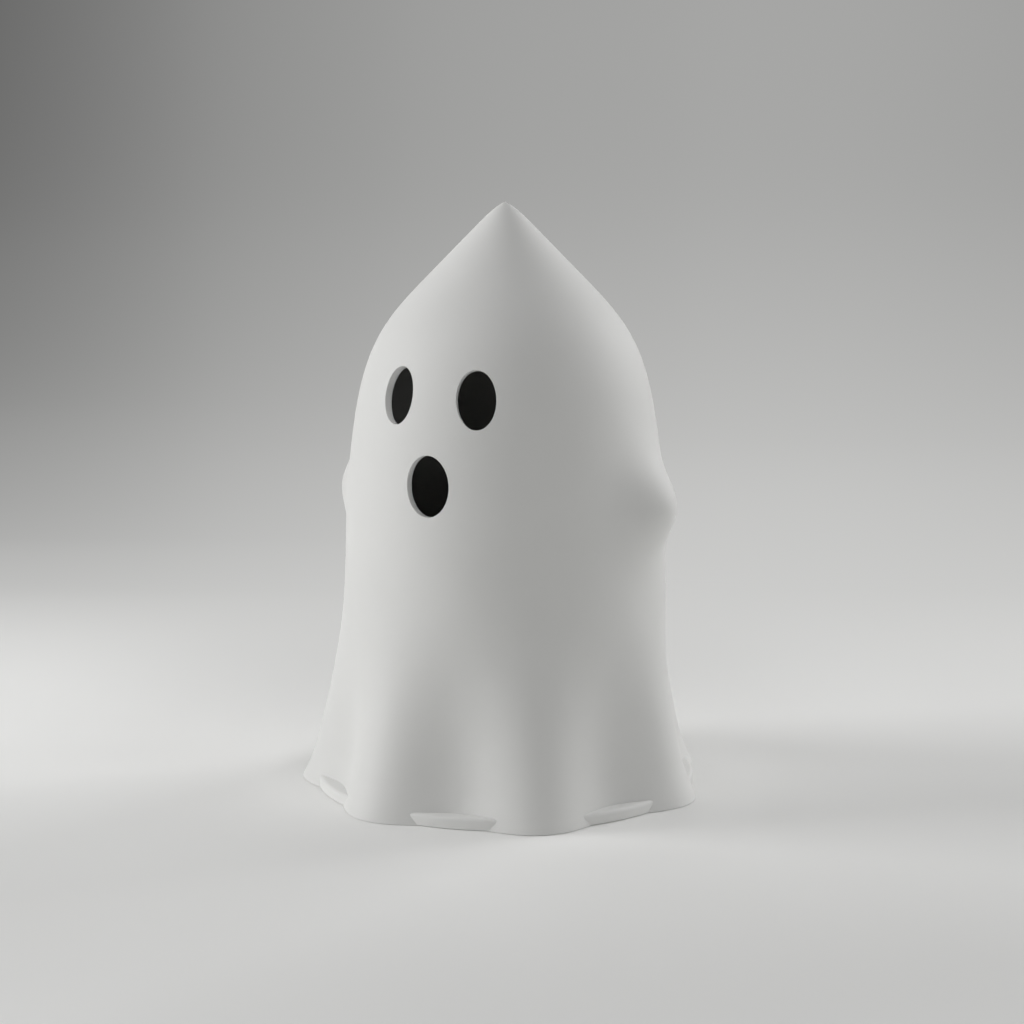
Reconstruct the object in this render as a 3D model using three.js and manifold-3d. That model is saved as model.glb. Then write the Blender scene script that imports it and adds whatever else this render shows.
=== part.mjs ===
// A tabletop ghost lantern: a hollow draped figure that lifts off a round base plate,
// and a battery tea light that stands in the plate's seat.
// Millimetres, +Z up, the face towards -Y, the origin on the floor under the figure's axis.
// An azimuth is in degrees: 0 at the face, positive towards +X.

import * as THREE from "three";
import { mergeVertices } from "three/addons/utils/BufferGeometryUtils.js";
import Module from "manifold-3d";

// Clearances
const FIT = 0.3; // round a piece that is dropped or clipped into another
const SEAT = 0.1; // between two pieces that bear on each other
const SINK = 0.1; // how deep one solid is sunk into the one that it is joined to
const PIN_PLAY = 0.15; // round the hinge pin

// Draped figure
const HEIGHT = 150;
const WALL = 2.1;
const FLOOR_GAP = 0.4; // under the hem and the base plate
const BODY_R = 41.8; // radius of the upright wall
const BODY_TOP = 6; // height at which the wall is upright
const CONE_DEPTH = 20; // straight cone below the tip
const CONE_SLOPE = 0.98; // radius gained per height
const NOSE = 1.65; // how much blunter the tip is than the cone
const NOSE_DEPTH = 1.24;
const BROW_PULL = 25; // how far the cone's line carries into the brow
const CHEEK_DEPTH = 45; // depth below the tip that the upright wall's line carries up to
const FLARE = 6.8;
const FLARE_TOP = 66;
const FLARE_POWER = 2.5;
const LIP = 1.8; // extra flare close to the hem
const LIP_TOP = 9;
const LIP_POWER = 1.3;
const FOLD_DEPTH = 3.3;
const FOLD_TOP = 55;
const FOLDS = [-103, -65.4, -14, 37.6, 89, 140.4, 193]; // azimuths of the ridges

// Arms under the cloth
const ARM_REACH = 6.7;
const ARM_DEPTH = 74.8; // below the tip
const ARM_SPREAD = 10.5; // up and down
const ARM_SWEEP = 15.5; // round the body, degrees
const ARM_AZIMUTH = 90; // to both sides of the face

// Face
const EYE_WIDTH = 9.9;
const EYE_HEIGHT = 14.5;
const EYE_DEPTH = 46; // below the tip
const EYE_AZIMUTH = 16.6; // to both sides of the face
const MOUTH_WIDTH = 11.3;
const MOUTH_HEIGHT = 15.1;
const MOUTH_DEPTH = 67.3; // below the tip

// Base plate
const PLATE_MARGIN = 3.25; // how far the plate's rim stands out past the cloth's valleys
const PLATE_TOP = 3;
const CUP_BEARING = 2.5; // width of plate under the tea light, round the hole to its door and switch
const SEAT_WALL = 2;
const SEAT_HEIGHT = 4;
const GRIP_WIDTH = 16; // gaps in the seat ring for finger and thumb
const TAB_HEIGHT = 6;
const TAB_THICK = 1.8;
const TAB_SWEEP = 12; // degrees
const TAB_VALLEYS = [1, 3, 5, 6]; // the folds after which a tab stands

// Feet
const FOOT_R = 5;
const FOOT_THICK = 1.4;
const FOOT_INSET = 10.9; // from the plate's rim to a foot's centre
const FEET = ["foot_back_right", "foot_back_left", "foot_front_left", "foot_front_right"];

// Tea light
const CUP_WALL = 1;
const CUP_HEIGHT = 20;
const TOP_DEPTH = 4; // the wax top's underside below the cup's rim
const TOP_THICK = 1.2;
const POOL_R = 8; // the wax top's flat middle
const POOL_RISE = 0.8; // how far the wax top rises towards its edge
const LEDGE = 1.4; // width of the ledge under the wax top
const LEDGE_THICK = 0.7;
const NECK_R = 4.3;
const NECK_HEIGHT = 1.4;
const FLAME_R = 6.4;
const FLAME_HEIGHT = 20.5;
const FLAME_WALL = 1;
const FLAME_OUTLINE = [
  [1, 0.26],
  [0.76, 0.55],
  [0.28, 0.85],
  [0, 1],
]; // shares of its radius and of its height

// Lamp
const LED_R = 2.5;
const LED_RIM = 0.4; // how far its flange stands out
const LED_FLANGE = 1;
const LED_LENGTH = 8.6;
const LEAD = 0.5; // square wire
const LEAD_PITCH = 2.54;
const LEAD_SPLAY = 3.2; // half distance between the leads' lower ends
const LEAD_BENDS = [0.75, 0.3]; // heights of a lead's two bends, as shares of its length

// Battery compartment, on the tea light's underside
const CELL_R = 10;
const CELL_THICK = 3.2;
const CELL_RIM = 1; // width of the step round its upper face
const CELL_STEP = 0.4;
const WELL_PLAY = 0.4; // round the cell
const WELL_INSET = 2; // least width between the well and the compartment's rim
const FLOOR = 1.8;
const WELL_WALL = 1.2;
const CEILING = 1;
const CONTACT_ROOM = 1; // space over the cell for the spring contact
const SKIRT_WALL = 1.2;
const SKIRT_HEIGHT = 8;
const STRIP = 0.3; // sheet thickness of the contacts
const STRIP_WIDTH = 2;
const CONTACT_X = 1.2; // negative strip, to the left of the centre
const STRIP_SLOPE = 1.5; // run per drop where the negative strip slopes

// Battery door
const DOOR_THICK = 1.4;
const DOOR_LIP = 0.6; // the opening's radius beyond the well
const KNUCKLE_R = 0.8;
const KNUCKLE_LENGTH = 11;
const PIN_R = 0.45;
const PIN_GRIP = 2; // the pin's length in the compartment's floor, each side
const HINGE_WIDTH = 15; // the door's width at the hinge
const NAIL_WIDTH = 6; // fingernail notch at the free end
const NAIL_DEPTH = 1.2;

// Switch
const SWITCH_TRAVEL = 3;
const SWITCH_GAP = 2.8; // floor between the door's hinge and the switch's slot
const SWITCH_INSET = 4.2; // from the switch's slot to the compartment's rim
const KNOB_LENGTH = 5;
const KNOB_WIDTH = 2.8;
const KNOB_RECESS = 0.3;
const KNOB_RIBS = 4;
const RIB_DEPTH = 0.3;
const CARRIER_OVERHANG = 1.2;
const CARRIER_THICK = 1;
const WIPER_LENGTH = 6;
const WIPER_WIDTH = 3.4;

// Fineness of the round surfaces
const STEPS_PER_FOLD = 9;
const TIP_ROWS = 6;
const BODY_ROWS = 20;
const LIP_ROWS = 4;
const PLATE_SIDES = 72;
const CUP_SIDES = 48;
const SMALL_SIDES = 20;
const OVAL_STEPS = 16; // in each half of an eye or the mouth
const TIP_CROWDING = 1.7; // how closely the rows crowd towards the tip
const HEM_SPARE = 3.6; // how far the uncut cloth runs on below the floor
const TAB_STEPS = 4;
const RIM_STEPS = 4;
const POOL_STEPS = 4;
const FLAME_STEPS = 12;
const DOME_STEPS = 5;
const DOOR_STEPS = 30;
const HALVINGS = 40; // when a height is looked up on the brow's curve

const wasm = await Module();
wasm.setup();
const radians = THREE.MathUtils.degToRad;

// Turns a closed geometry into a solid that can be cut and joined.
function solidFrom(geometry) {
  const bare = geometry.clone();
  bare.deleteAttribute("normal");
  bare.deleteAttribute("uv");
  const merged = mergeVertices(bare, 1e-4);
  return new wasm.Manifold(
    new wasm.Mesh({
      numProp: 3,
      vertProperties: new Float32Array(merged.attributes.position.array),
      triVerts: new Uint32Array(merged.index.array),
    }),
  );
}

// Turns a solid back into a flat-shaded geometry.
function geometryFrom(solid) {
  const mesh = solid.getMesh();
  const geometry = new THREE.BufferGeometry();
  geometry.setAttribute("position", new THREE.BufferAttribute(mesh.vertProperties, 3));
  geometry.setIndex(new THREE.BufferAttribute(mesh.triVerts, 1));
  const flat = geometry.toNonIndexed();
  flat.computeVertexNormals();
  return flat;
}

// A body of revolution about Z from [radius, height] points, counter-clockwise seen from -Y.
// A profile that doesn't touch the axis is closed on itself.
function revolve(points, sides) {
  const outline = points.map(([r, z]) => new THREE.Vector2(r, z));
  const onAxis = points[0][0] === 0 && points[points.length - 1][0] === 0;
  if (!onAxis) outline.push(outline[0].clone());
  const geometry = new THREE.LatheGeometry(outline, sides);
  geometry.rotateX(Math.PI / 2);
  return solidFrom(geometry);
}

function disc(radius, bottom, top, sides) {
  const profile = [
    [0, bottom],
    [radius, bottom],
    [radius, top],
    [0, top],
  ];
  return revolve(profile, sides);
}

function ring(inner, outer, bottom, top, sides) {
  const profile = [
    [inner, bottom],
    [outer, bottom],
    [outer, top],
    [inner, top],
  ];
  return revolve(profile, sides);
}

// A box between two corners.
function block([x0, y0, z0], [x1, y1, z1]) {
  const geometry = new THREE.BoxGeometry(x1 - x0, y1 - y0, z1 - z0);
  geometry.translate((x0 + x1) / 2, (y0 + y1) / 2, (z0 + z1) / 2);
  return solidFrom(geometry);
}

// A flat plan outline of [x, y] points, raised from bottom to top.
function plate(points, bottom, top) {
  const shape = new THREE.Shape(points.map(([x, y]) => new THREE.Vector2(x, y)));
  const geometry = new THREE.ExtrudeGeometry(shape, { depth: top - bottom, bevelEnabled: false });
  geometry.translate(0, 0, bottom);
  return solidFrom(geometry);
}

// A side outline of [y, z] points, carried from x0 to x1.
function sideProfile(points, x0, x1) {
  const shape = new THREE.Shape(points.map(([y, z]) => new THREE.Vector2(y, z)));
  const geometry = new THREE.ExtrudeGeometry(shape, { depth: x1 - x0, bevelEnabled: false });
  const toYz = new THREE.Matrix4().makeBasis(
    new THREE.Vector3(0, 1, 0),
    new THREE.Vector3(0, 0, 1),
    new THREE.Vector3(1, 0, 0),
  );
  geometry.applyMatrix4(toYz);
  geometry.translate(x0, 0, 0);
  return solidFrom(geometry);
}

// A rod along X.
function rod(radius, x0, x1, y, z) {
  const geometry = new THREE.CylinderGeometry(radius, radius, x1 - x0, SMALL_SIDES);
  geometry.rotateZ(Math.PI / 2);
  geometry.translate((x0 + x1) / 2, y, z);
  return solidFrom(geometry);
}

function addPiece(parent, name, solid, color, roughness, metalness = 0) {
  const material = new THREE.MeshStandardMaterial({ color, roughness, metalness });
  const mesh = new THREE.Mesh(geometryFrom(solid), material);
  mesh.name = name;
  parent.add(mesh);
}

// Figure's surface

const coneEnd = new THREE.Vector2(CONE_SLOPE * CONE_DEPTH + NOSE, HEIGHT - CONE_DEPTH);
const coneLine = new THREE.Vector2(CONE_SLOPE, -1).normalize();
const wallEnd = new THREE.Vector2(BODY_R, BODY_TOP);
const brow = new THREE.CubicBezierCurve(
  coneEnd,
  coneEnd.clone().addScaledVector(coneLine, BROW_PULL),
  new THREE.Vector2(BODY_R, HEIGHT - CHEEK_DEPTH),
  wallEnd,
);

// The plain profile's radius: a blunt point, a cone, a rounded brow and an upright wall.
function profileRadius(z) {
  const depth = HEIGHT - z;
  if (depth <= CONE_DEPTH) {
    return CONE_SLOPE * depth + NOSE * (1 - Math.exp(-depth / NOSE_DEPTH));
  }
  if (z <= BODY_TOP) return wallEnd.x;
  let low = 0;
  let high = 1;
  for (let i = 0; i < HALVINGS; i++) {
    const middle = (low + high) / 2;
    if (brow.getPoint(middle).y > z) low = middle;
    else high = middle;
  }
  return brow.getPoint(low).x;
}

// The radius midway between ridges and valleys: the cloth spreads outwards on its way down to the hem.
function plainRadius(z) {
  const skirt = Math.max(0, (FLARE_TOP - z) / FLARE_TOP);
  const lip = Math.max(0, (LIP_TOP - z) / LIP_TOP);
  return profileRadius(z) + FLARE * skirt ** FLARE_POWER + LIP * lip ** LIP_POWER;
}

// The gap from one ridge to the next one round the hem.
function foldGap(k) {
  const next = k + 1 < FOLDS.length ? FOLDS[k + 1] : FOLDS[0] + 360;
  return next - FOLDS[k];
}

// 1 on a ridge and -1 in the middle of a valley.
function foldWave(azimuth) {
  const a = THREE.MathUtils.euclideanModulo(azimuth - FOLDS[0], 360) + FOLDS[0];
  let k = FOLDS.length - 1;
  while (FOLDS[k] > a) k--;
  return Math.cos((2 * Math.PI * (a - FOLDS[k])) / foldGap(k));
}

function foldDepth(z) {
  return FOLD_DEPTH * THREE.MathUtils.smoothstep(FOLD_TOP - z, 0, FOLD_TOP);
}

function armReach(azimuth, z) {
  const rise = (z - (HEIGHT - ARM_DEPTH)) / ARM_SPREAD;
  const sideReach = (side) => {
    const turn = THREE.MathUtils.euclideanModulo(azimuth - side + 180, 360) - 180;
    return ARM_REACH * Math.exp(-((turn / ARM_SWEEP) ** 2) - rise ** 2);
  };
  return sideReach(ARM_AZIMUTH) + sideReach(-ARM_AZIMUTH);
}

// A point of the cloth, depth mm inside its outer surface.
function clothPoint(azimuth, z, depth) {
  const below = z - 0.5;
  const above = Math.min(HEIGHT, z + 0.5);
  const lean = (plainRadius(below) - plainRadius(above)) / (above - below);
  const length = Math.hypot(1, lean);
  const shape = foldDepth(z) * foldWave(azimuth) + armReach(azimuth, z);
  const radius = plainRadius(z) + shape - depth / length;
  const height = z - (depth * lean) / length;
  const angle = radians(azimuth);
  return new THREE.Vector3(radius * Math.sin(angle), -radius * Math.cos(angle), height);
}

const azimuths = FOLDS.flatMap((fold, k) =>
  Array.from({ length: STEPS_PER_FOLD }, (_, i) => fold + (foldGap(k) * i) / STEPS_PER_FOLD),
);

// Heights of the rows of points, from just under the tip to below the hem.
function rowHeights(firstDepth) {
  const heights = [];
  for (let i = 1; i <= TIP_ROWS; i++) {
    const depth = CONE_DEPTH * (i / TIP_ROWS) ** TIP_CROWDING;
    if (depth > firstDepth) heights.push(HEIGHT - depth);
  }
  const bodyPitch = (HEIGHT - CONE_DEPTH - LIP_TOP) / BODY_ROWS;
  for (let i = 1; i <= BODY_ROWS; i++) heights.push(HEIGHT - CONE_DEPTH - bodyPitch * i);
  const lipPitch = (LIP_TOP + HEM_SPARE) / LIP_ROWS;
  for (let i = 1; i <= LIP_ROWS; i++) heights.push(LIP_TOP - lipPitch * i);
  return heights;
}

// The whole cloth before its openings are cut: rings of points down the outside and up the inside.
function clothSolid() {
  const outer = rowHeights(0).map((z) => azimuths.map((a) => clothPoint(a, z, 0)));
  const innerRows = rowHeights(WALL * 2).map((z) => azimuths.map((a) => clothPoint(a, z, WALL)));
  const rings = [...outer, ...innerRows.reverse()];
  const tip = new THREE.Vector3(0, 0, HEIGHT);
  const innerTip = new THREE.Vector3(0, 0, HEIGHT - WALL / Math.sin(Math.atan(CONE_SLOPE)));
  const vertices = [tip, ...rings.flat(), innerTip];
  const count = azimuths.length;
  const last = vertices.length - 1;
  const at = (row, i) => 1 + row * count + (i % count);
  const index = [];
  for (let i = 0; i < count; i++) {
    index.push(0, at(0, i), at(0, i + 1));
    for (let row = 0; row + 1 < rings.length; row++) {
      index.push(at(row, i), at(row + 1, i), at(row + 1, i + 1));
      index.push(at(row, i), at(row + 1, i + 1), at(row, i + 1));
    }
    index.push(at(rings.length - 1, i), last, at(rings.length - 1, i + 1));
  }
  const geometry = new THREE.BufferGeometry().setFromPoints(vertices);
  geometry.setIndex(index);
  return solidFrom(geometry);
}

// An upright oval cutter that runs square to the cloth at its centre, depthBelow the tip.
function ovalCutter(width, height, azimuth, depthBelow) {
  const level = HEIGHT - depthBelow;
  const oval = new THREE.Shape();
  oval.absellipse(0, 0, width / 2, height / 2, 0, 2 * Math.PI);
  const reach = 4 * WALL;
  const geometry = new THREE.ExtrudeGeometry(oval, {
    depth: 2 * reach,
    bevelEnabled: false,
    curveSegments: OVAL_STEPS,
  });
  geometry.translate(0, 0, -reach);
  const centre = clothPoint(azimuth, level, 0);
  const normal = centre.clone().sub(clothPoint(azimuth, level, WALL)).normalize();
  const side = new THREE.Vector3(Math.cos(radians(azimuth)), Math.sin(radians(azimuth)), 0);
  const up = new THREE.Vector3().crossVectors(normal, side);
  geometry.applyMatrix4(new THREE.Matrix4().makeBasis(side, up, normal).setPosition(centre));
  return solidFrom(geometry);
}

const plateR = plainRadius(PLATE_TOP) - foldDepth(PLATE_TOP) + PLATE_MARGIN;

function ghostShell() {
  const far = 2 * plateR;
  const below = revolve(
    [
      [0, -far],
      [far, -far],
      [far, FLOOR_GAP],
      [plateR + FIT, FLOOR_GAP],
      [plateR + FIT, PLATE_TOP],
      [0, PLATE_TOP],
    ],
    PLATE_SIDES,
  );
  return clothSolid()
    .subtract(below)
    .subtract(ovalCutter(EYE_WIDTH, EYE_HEIGHT, -EYE_AZIMUTH, EYE_DEPTH))
    .subtract(ovalCutter(EYE_WIDTH, EYE_HEIGHT, EYE_AZIMUTH, EYE_DEPTH))
    .subtract(ovalCutter(MOUTH_WIDTH, MOUTH_HEIGHT, 0, MOUTH_DEPTH));
}

// Base

// A foot, or with some spare the recess for it. The feet stand on the diagonals.
function foot(k, spare) {
  const angle = (Math.PI / 2) * (k + 0.5);
  const reach = plateR - FOOT_INSET;
  const x = reach * Math.cos(angle);
  const y = reach * Math.sin(angle);
  return disc(FOOT_R + spare, 0, FOOT_THICK + spare / 2, SMALL_SIDES).translate([x, y, 0]);
}

// An upright tab in a valley of the cloth, that keeps the figure centred.
function locatingTab(k) {
  const valley = FOLDS[k] + foldGap(k) / 2;
  const innerRadius = (z) => {
    const point = clothPoint(valley, z, WALL);
    return Math.hypot(point.x, point.y);
  };
  const footR = innerRadius(PLATE_TOP) - 2 * FIT;
  const headR = innerRadius(PLATE_TOP + TAB_HEIGHT) - 2 * FIT;
  const outline = [
    [headR - TAB_THICK, PLATE_TOP - SINK],
    [footR, PLATE_TOP - SINK],
    [footR, PLATE_TOP],
    [headR, PLATE_TOP + TAB_HEIGHT],
    [headR - TAB_THICK, PLATE_TOP + TAB_HEIGHT],
  ];
  const sections = [];
  for (let i = 0; i <= TAB_STEPS; i++) {
    const a = radians(valley + TAB_SWEEP * (i / TAB_STEPS - 0.5));
    sections.push(outline.map(([r, z]) => new THREE.Vector3(r * Math.sin(a), -r * Math.cos(a), z)));
  }
  return sweptSolid(sections);
}

// A solid through matching cross-sections, with a flat cap on the first and the last.
function sweptSolid(sections) {
  const size = sections[0].length;
  const flat = sections.flat();
  const at = (row, i) => row * size + (i % size);
  const index = [];
  for (let row = 0; row + 1 < sections.length; row++) {
    for (let i = 0; i < size; i++) {
      index.push(at(row, i), at(row + 1, i), at(row + 1, i + 1));
      index.push(at(row, i), at(row + 1, i + 1), at(row, i + 1));
    }
  }
  const lastRow = sections.length - 1;
  for (let i = 1; i + 1 < size; i++) {
    index.push(at(0, 0), at(0, i), at(0, i + 1));
    index.push(at(lastRow, 0), at(lastRow, i + 1), at(lastRow, i));
  }
  const geometry = new THREE.BufferGeometry().setFromPoints(flat);
  geometry.setIndex(index);
  return solidFrom(geometry);
}

function basePlate() {
  const seatR = cupR + FIT;
  const seatTop = PLATE_TOP + SEAT_HEIGHT;
  const grips = block([-2 * seatR, -GRIP_WIDTH / 2, PLATE_TOP], [2 * seatR, GRIP_WIDTH / 2, 2 * seatTop]);
  const seat = ring(seatR, seatR + SEAT_WALL, PLATE_TOP - SINK, seatTop, PLATE_SIDES).subtract(grips);
  let body = ring(cupR - CUP_BEARING, plateR, FLOOR_GAP, PLATE_TOP, PLATE_SIDES).add(seat);
  for (const k of TAB_VALLEYS) body = body.add(locatingTab(k));
  for (const k of FEET.keys()) body = body.subtract(foot(k, FIT));
  return body;
}

// Tea light, with its underside at z = 0. From the face to the back its compartment holds the
// cell's well, the door's hinge and the switch's slot, and that row gives its radius: 17.7 mm,
// so that the cup is 38 mm across.

const wellR = CELL_R + WELL_PLAY;
const hingeClear = KNUCKLE_R + FIT;
const slotHalfWidth = KNOB_WIDTH / 2 + FIT;
const compartmentR =
  (WELL_INSET + 2 * wellR + 2 * hingeClear + SWITCH_GAP + 2 * slotHalfWidth + SWITCH_INSET) / 2;
const cellY = WELL_INSET + wellR - compartmentR;
const hingeY = cellY + wellR + hingeClear;
const switchY = compartmentR - SWITCH_INSET - slotHalfWidth;

const insideR = compartmentR + FIT;
const cupR = insideR + CUP_WALL;
const topUnderside = CUP_HEIGHT - TOP_DEPTH;
const poolZ = topUnderside + TOP_THICK;

// The cup has a rounded rim and a small ledge that carries the wax top.
function candleCup() {
  const ledgeZ = topUnderside - SEAT;
  const rimR = CUP_WALL / 2;
  const rim = [];
  for (let i = 0; i <= RIM_STEPS; i++) {
    const a = (Math.PI * i) / RIM_STEPS;
    rim.push([cupR - rimR + rimR * Math.cos(a), CUP_HEIGHT - rimR + rimR * Math.sin(a)]);
  }
  return revolve(
    [
      [insideR, 0],
      [cupR, 0],
      ...rim,
      [insideR, ledgeZ],
      [insideR - LEDGE, ledgeZ],
      [insideR - LEDGE, ledgeZ - LEDGE_THICK],
      [insideR, ledgeZ - LEDGE_THICK - LEDGE],
    ],
    CUP_SIDES,
  );
}

// The wax top is dished, with a neck round the lamp.
function candleTop() {
  const outer = insideR - FIT;
  const dish = [];
  for (let i = 0; i <= POOL_STEPS; i++) {
    const share = 1 - i / POOL_STEPS;
    dish.push([POOL_R + (outer - POOL_R) * share, poolZ + POOL_RISE * share ** 2]);
  }
  return revolve(
    [
      [LED_R + FIT, topUnderside],
      [outer, topUnderside],
      ...dish,
      [NECK_R, poolZ],
      [NECK_R, poolZ + NECK_HEIGHT],
      [LED_R + FIT, poolZ + NECK_HEIGHT],
    ],
    CUP_SIDES,
  );
}

// The flame has a narrow foot, a round belly and a long point, and it is hollow over the lamp.
function flameLens() {
  const bottom = poolZ + SEAT;
  const hollowR = NECK_R + FIT;
  const outline = new THREE.CatmullRomCurve3([
    new THREE.Vector3(hollowR + FLAME_WALL, 0, bottom),
    ...FLAME_OUTLINE.map(([r, z]) => new THREE.Vector3(FLAME_R * r, 0, bottom + FLAME_HEIGHT * z)),
  ]);
  const outside = outline.getPoints(FLAME_STEPS).map((p) => [p.x, p.z]);
  outside[outside.length - 1][0] = 0;
  const inside = outside
    .filter(([r]) => r > 2 * FLAME_WALL)
    .map(([r, z]) => [Math.min(hollowR, r - FLAME_WALL), z])
    .reverse();
  return revolve([[0, inside[0][1]], ...inside, ...outside], SMALL_SIDES);
}

const flangeTop = topUnderside - SEAT;

function ledLamp() {
  const bottom = flangeTop - LED_FLANGE;
  const shoulder = bottom + LED_LENGTH - LED_R;
  const dome = [];
  for (let i = 0; i < DOME_STEPS; i++) {
    const a = (Math.PI / 2) * (i / DOME_STEPS);
    dome.push([LED_R * Math.cos(a), shoulder + LED_R * Math.sin(a)]);
  }
  return revolve(
    [
      [0, bottom],
      [LED_R + LED_RIM, bottom],
      [LED_R + LED_RIM, flangeTop],
      [LED_R, flangeTop],
      ...dome,
      [0, shoulder + LED_R],
    ],
    SMALL_SIDES,
  );
}

// Heights in the battery compartment

const doorTop = FLOOR - SEAT;
const doorBottom = doorTop - DOOR_THICK;
const hingeZ = doorTop - DOOR_THICK / 2;
const cellBottom = FLOOR + SEAT;
const cellTop = cellBottom + CELL_THICK;
const ceilingZ = cellTop + CONTACT_ROOM;
const lidTop = ceilingZ + CEILING;
const terminalZ = lidTop + SEAT; // underside of the strips that the lamp's leads stand on
const terminalTop = terminalZ + STRIP;

// A square wire from the lamp down to its terminal, splayed outwards half way.
function lampLead(side) {
  const top = flangeTop - LED_FLANGE;
  const end = terminalTop + SEAT;
  const [bendTop, bendEnd] = LEAD_BENDS.map((share) => end + share * (top - end));
  const near = (side * LEAD_PITCH) / 2;
  const far = side * LEAD_SPLAY;
  const centres = [
    [near, top],
    [near, bendTop],
    [far, bendEnd],
    [far, end],
  ];
  const half = LEAD / 2;
  const outline = (offset) => centres.map(([x, z]) => [x + offset, z]);
  const points = [...outline(half), ...outline(-half).reverse()];
  const shape = new THREE.Shape(points.map(([x, z]) => new THREE.Vector2(x, z)));
  const geometry = new THREE.ExtrudeGeometry(shape, { depth: LEAD, bevelEnabled: false });
  geometry.rotateX(Math.PI / 2);
  geometry.translate(0, half, 0);
  return solidFrom(geometry);
}

// Battery compartment

// The door's outline: round under the cell and straight at the hinge, drawn in by spare.
function doorOutline(spare, hingeEnd) {
  const radius = wellR + DOOR_LIP - spare;
  const half = HINGE_WIDTH / 2 - spare;
  const from = Math.PI / 2 - Math.asin(half / radius);
  const round = new THREE.Path();
  round.absarc(0, cellY, radius, from, Math.PI - from, true);
  const points = round.getPoints(DOOR_STEPS).map((p) => [p.x, p.y]);
  return [...points, [-half, hingeEnd], [half, hingeEnd]];
}

// A floor with a skirt, and a well that holds the cell from above.
function candleBase() {
  const well = disc(wellR + WELL_WALL, FLOOR - SINK, lidTop, CUP_SIDES).translate([0, cellY, 0]);
  const skirt = ring(compartmentR - SKIRT_WALL, compartmentR, FLOOR - SINK, SKIRT_HEIGHT, CUP_SIDES);
  const body = disc(compartmentR, 0, FLOOR, CUP_SIDES).add(skirt).add(well);
  const doorHole = plate(doorOutline(0, hingeY + hingeClear), -FLOOR, FLOOR);
  const cellHole = disc(wellR, -FLOOR, ceilingZ, CUP_SIDES).translate([0, cellY, 0]);
  const slotX = (KNOB_LENGTH + SWITCH_TRAVEL) / 2 + FIT;
  const switchSlot = block(
    [-slotX, switchY - slotHalfWidth, -FLOOR],
    [slotX, switchY + slotHalfWidth, 2 * FLOOR],
  );
  const knuckleRoom = rod(hingeClear, -HINGE_WIDTH / 2, HINGE_WIDTH / 2, hingeY, hingeZ);
  const pinEnd = KNUCKLE_LENGTH / 2 + FIT + PIN_GRIP;
  const pinHole = rod(PIN_R + PIN_PLAY, -pinEnd - FIT, pinEnd + FIT, hingeY, hingeZ);
  return body
    .subtract(doorHole)
    .subtract(cellHole)
    .subtract(switchSlot)
    .subtract(knuckleRoom)
    .subtract(pinHole)
    .subtract(positiveSlot())
    .subtract(negativeSlot());
}

const positiveX = -(CELL_R + SEAT);

// The way for the positive strip up the side of the well.
function positiveSlot() {
  const half = STRIP_WIDTH / 2 + FIT;
  return block(
    [positiveX - STRIP - FIT, cellY - half, cellBottom],
    [positiveX + FIT, cellY + half, lidTop + CEILING],
  );
}

// The way for the negative strip out of the well.
function negativeSlot() {
  const half = STRIP_WIDTH / 2 + FIT;
  const front = cellY + wellR - WELL_WALL;
  return block(
    [-CONTACT_X - half, front, cellTop],
    [-CONTACT_X + half, front + 3 * WELL_WALL, ceilingZ],
  );
}

// Up the cell's side, over the lid and across to the lamp's first lead.
function contactPositive() {
  const half = STRIP_WIDTH / 2;
  const upright = block(
    [positiveX - STRIP, cellY - half, cellBottom + FIT],
    [positiveX, cellY + half, terminalTop],
  );
  const reach = -LEAD_SPLAY;
  const over = plate(
    [
      [positiveX - STRIP, cellY - half],
      [reach + half, cellY - half],
      [reach + half, half],
      [reach - half, half],
      [reach - half, cellY + half],
      [positiveX - STRIP, cellY + half],
    ],
    terminalZ,
    terminalTop,
  );
  return upright.add(over);
}

const carrierBottom = FLOOR + SEAT;
const wiperBottom = carrierBottom + CARRIER_THICK + SEAT;
const switchContactZ = wiperBottom + STRIP + FIT;

// From the cell's upper face, out of the well and down over the switch.
function contactNegative() {
  const over = cellTop + SEAT;
  const start = cellY - CELL_R / 2;
  const bend = switchY - KNOB_WIDTH;
  const end = switchY + WIPER_WIDTH / 2;
  const drop = bend - (over - switchContactZ) * STRIP_SLOPE;
  const upper = [
    [start, over],
    [drop, over],
    [bend, switchContactZ],
    [end, switchContactZ],
  ];
  const lift = upper.map(([y, z]) => [y, z + STRIP]).reverse();
  const left = -CONTACT_X - STRIP_WIDTH / 2;
  return sideProfile([...upper, ...lift], left, left + STRIP_WIDTH);
}

// From over the switch up to the lamp's second lead.
function contactLamp() {
  const half = STRIP_WIDTH / 2;
  const rear = switchY + WIPER_WIDTH / 2;
  const upright = switchY - KNOB_WIDTH;
  const outline = [
    [rear, switchContactZ],
    [rear, switchContactZ + STRIP],
    [upright + STRIP, switchContactZ + STRIP],
    [upright + STRIP, terminalTop],
    [-half, terminalTop],
    [-half, terminalZ],
    [upright, terminalZ],
    [upright, switchContactZ],
  ];
  return sideProfile(outline, LEAD_SPLAY - half, LEAD_SPLAY + half);
}

function coinCell() {
  const faceR = CELL_R - CELL_RIM;
  return revolve(
    [
      [0, cellBottom],
      [CELL_R - CELL_STEP, cellBottom],
      [CELL_R, cellBottom + CELL_STEP],
      [CELL_R, cellTop - CELL_STEP],
      [faceR, cellTop - CELL_STEP],
      [faceR - CELL_STEP, cellTop],
      [0, cellTop],
    ],
    CUP_SIDES,
  ).translate([0, cellY, 0]);
}

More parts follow.
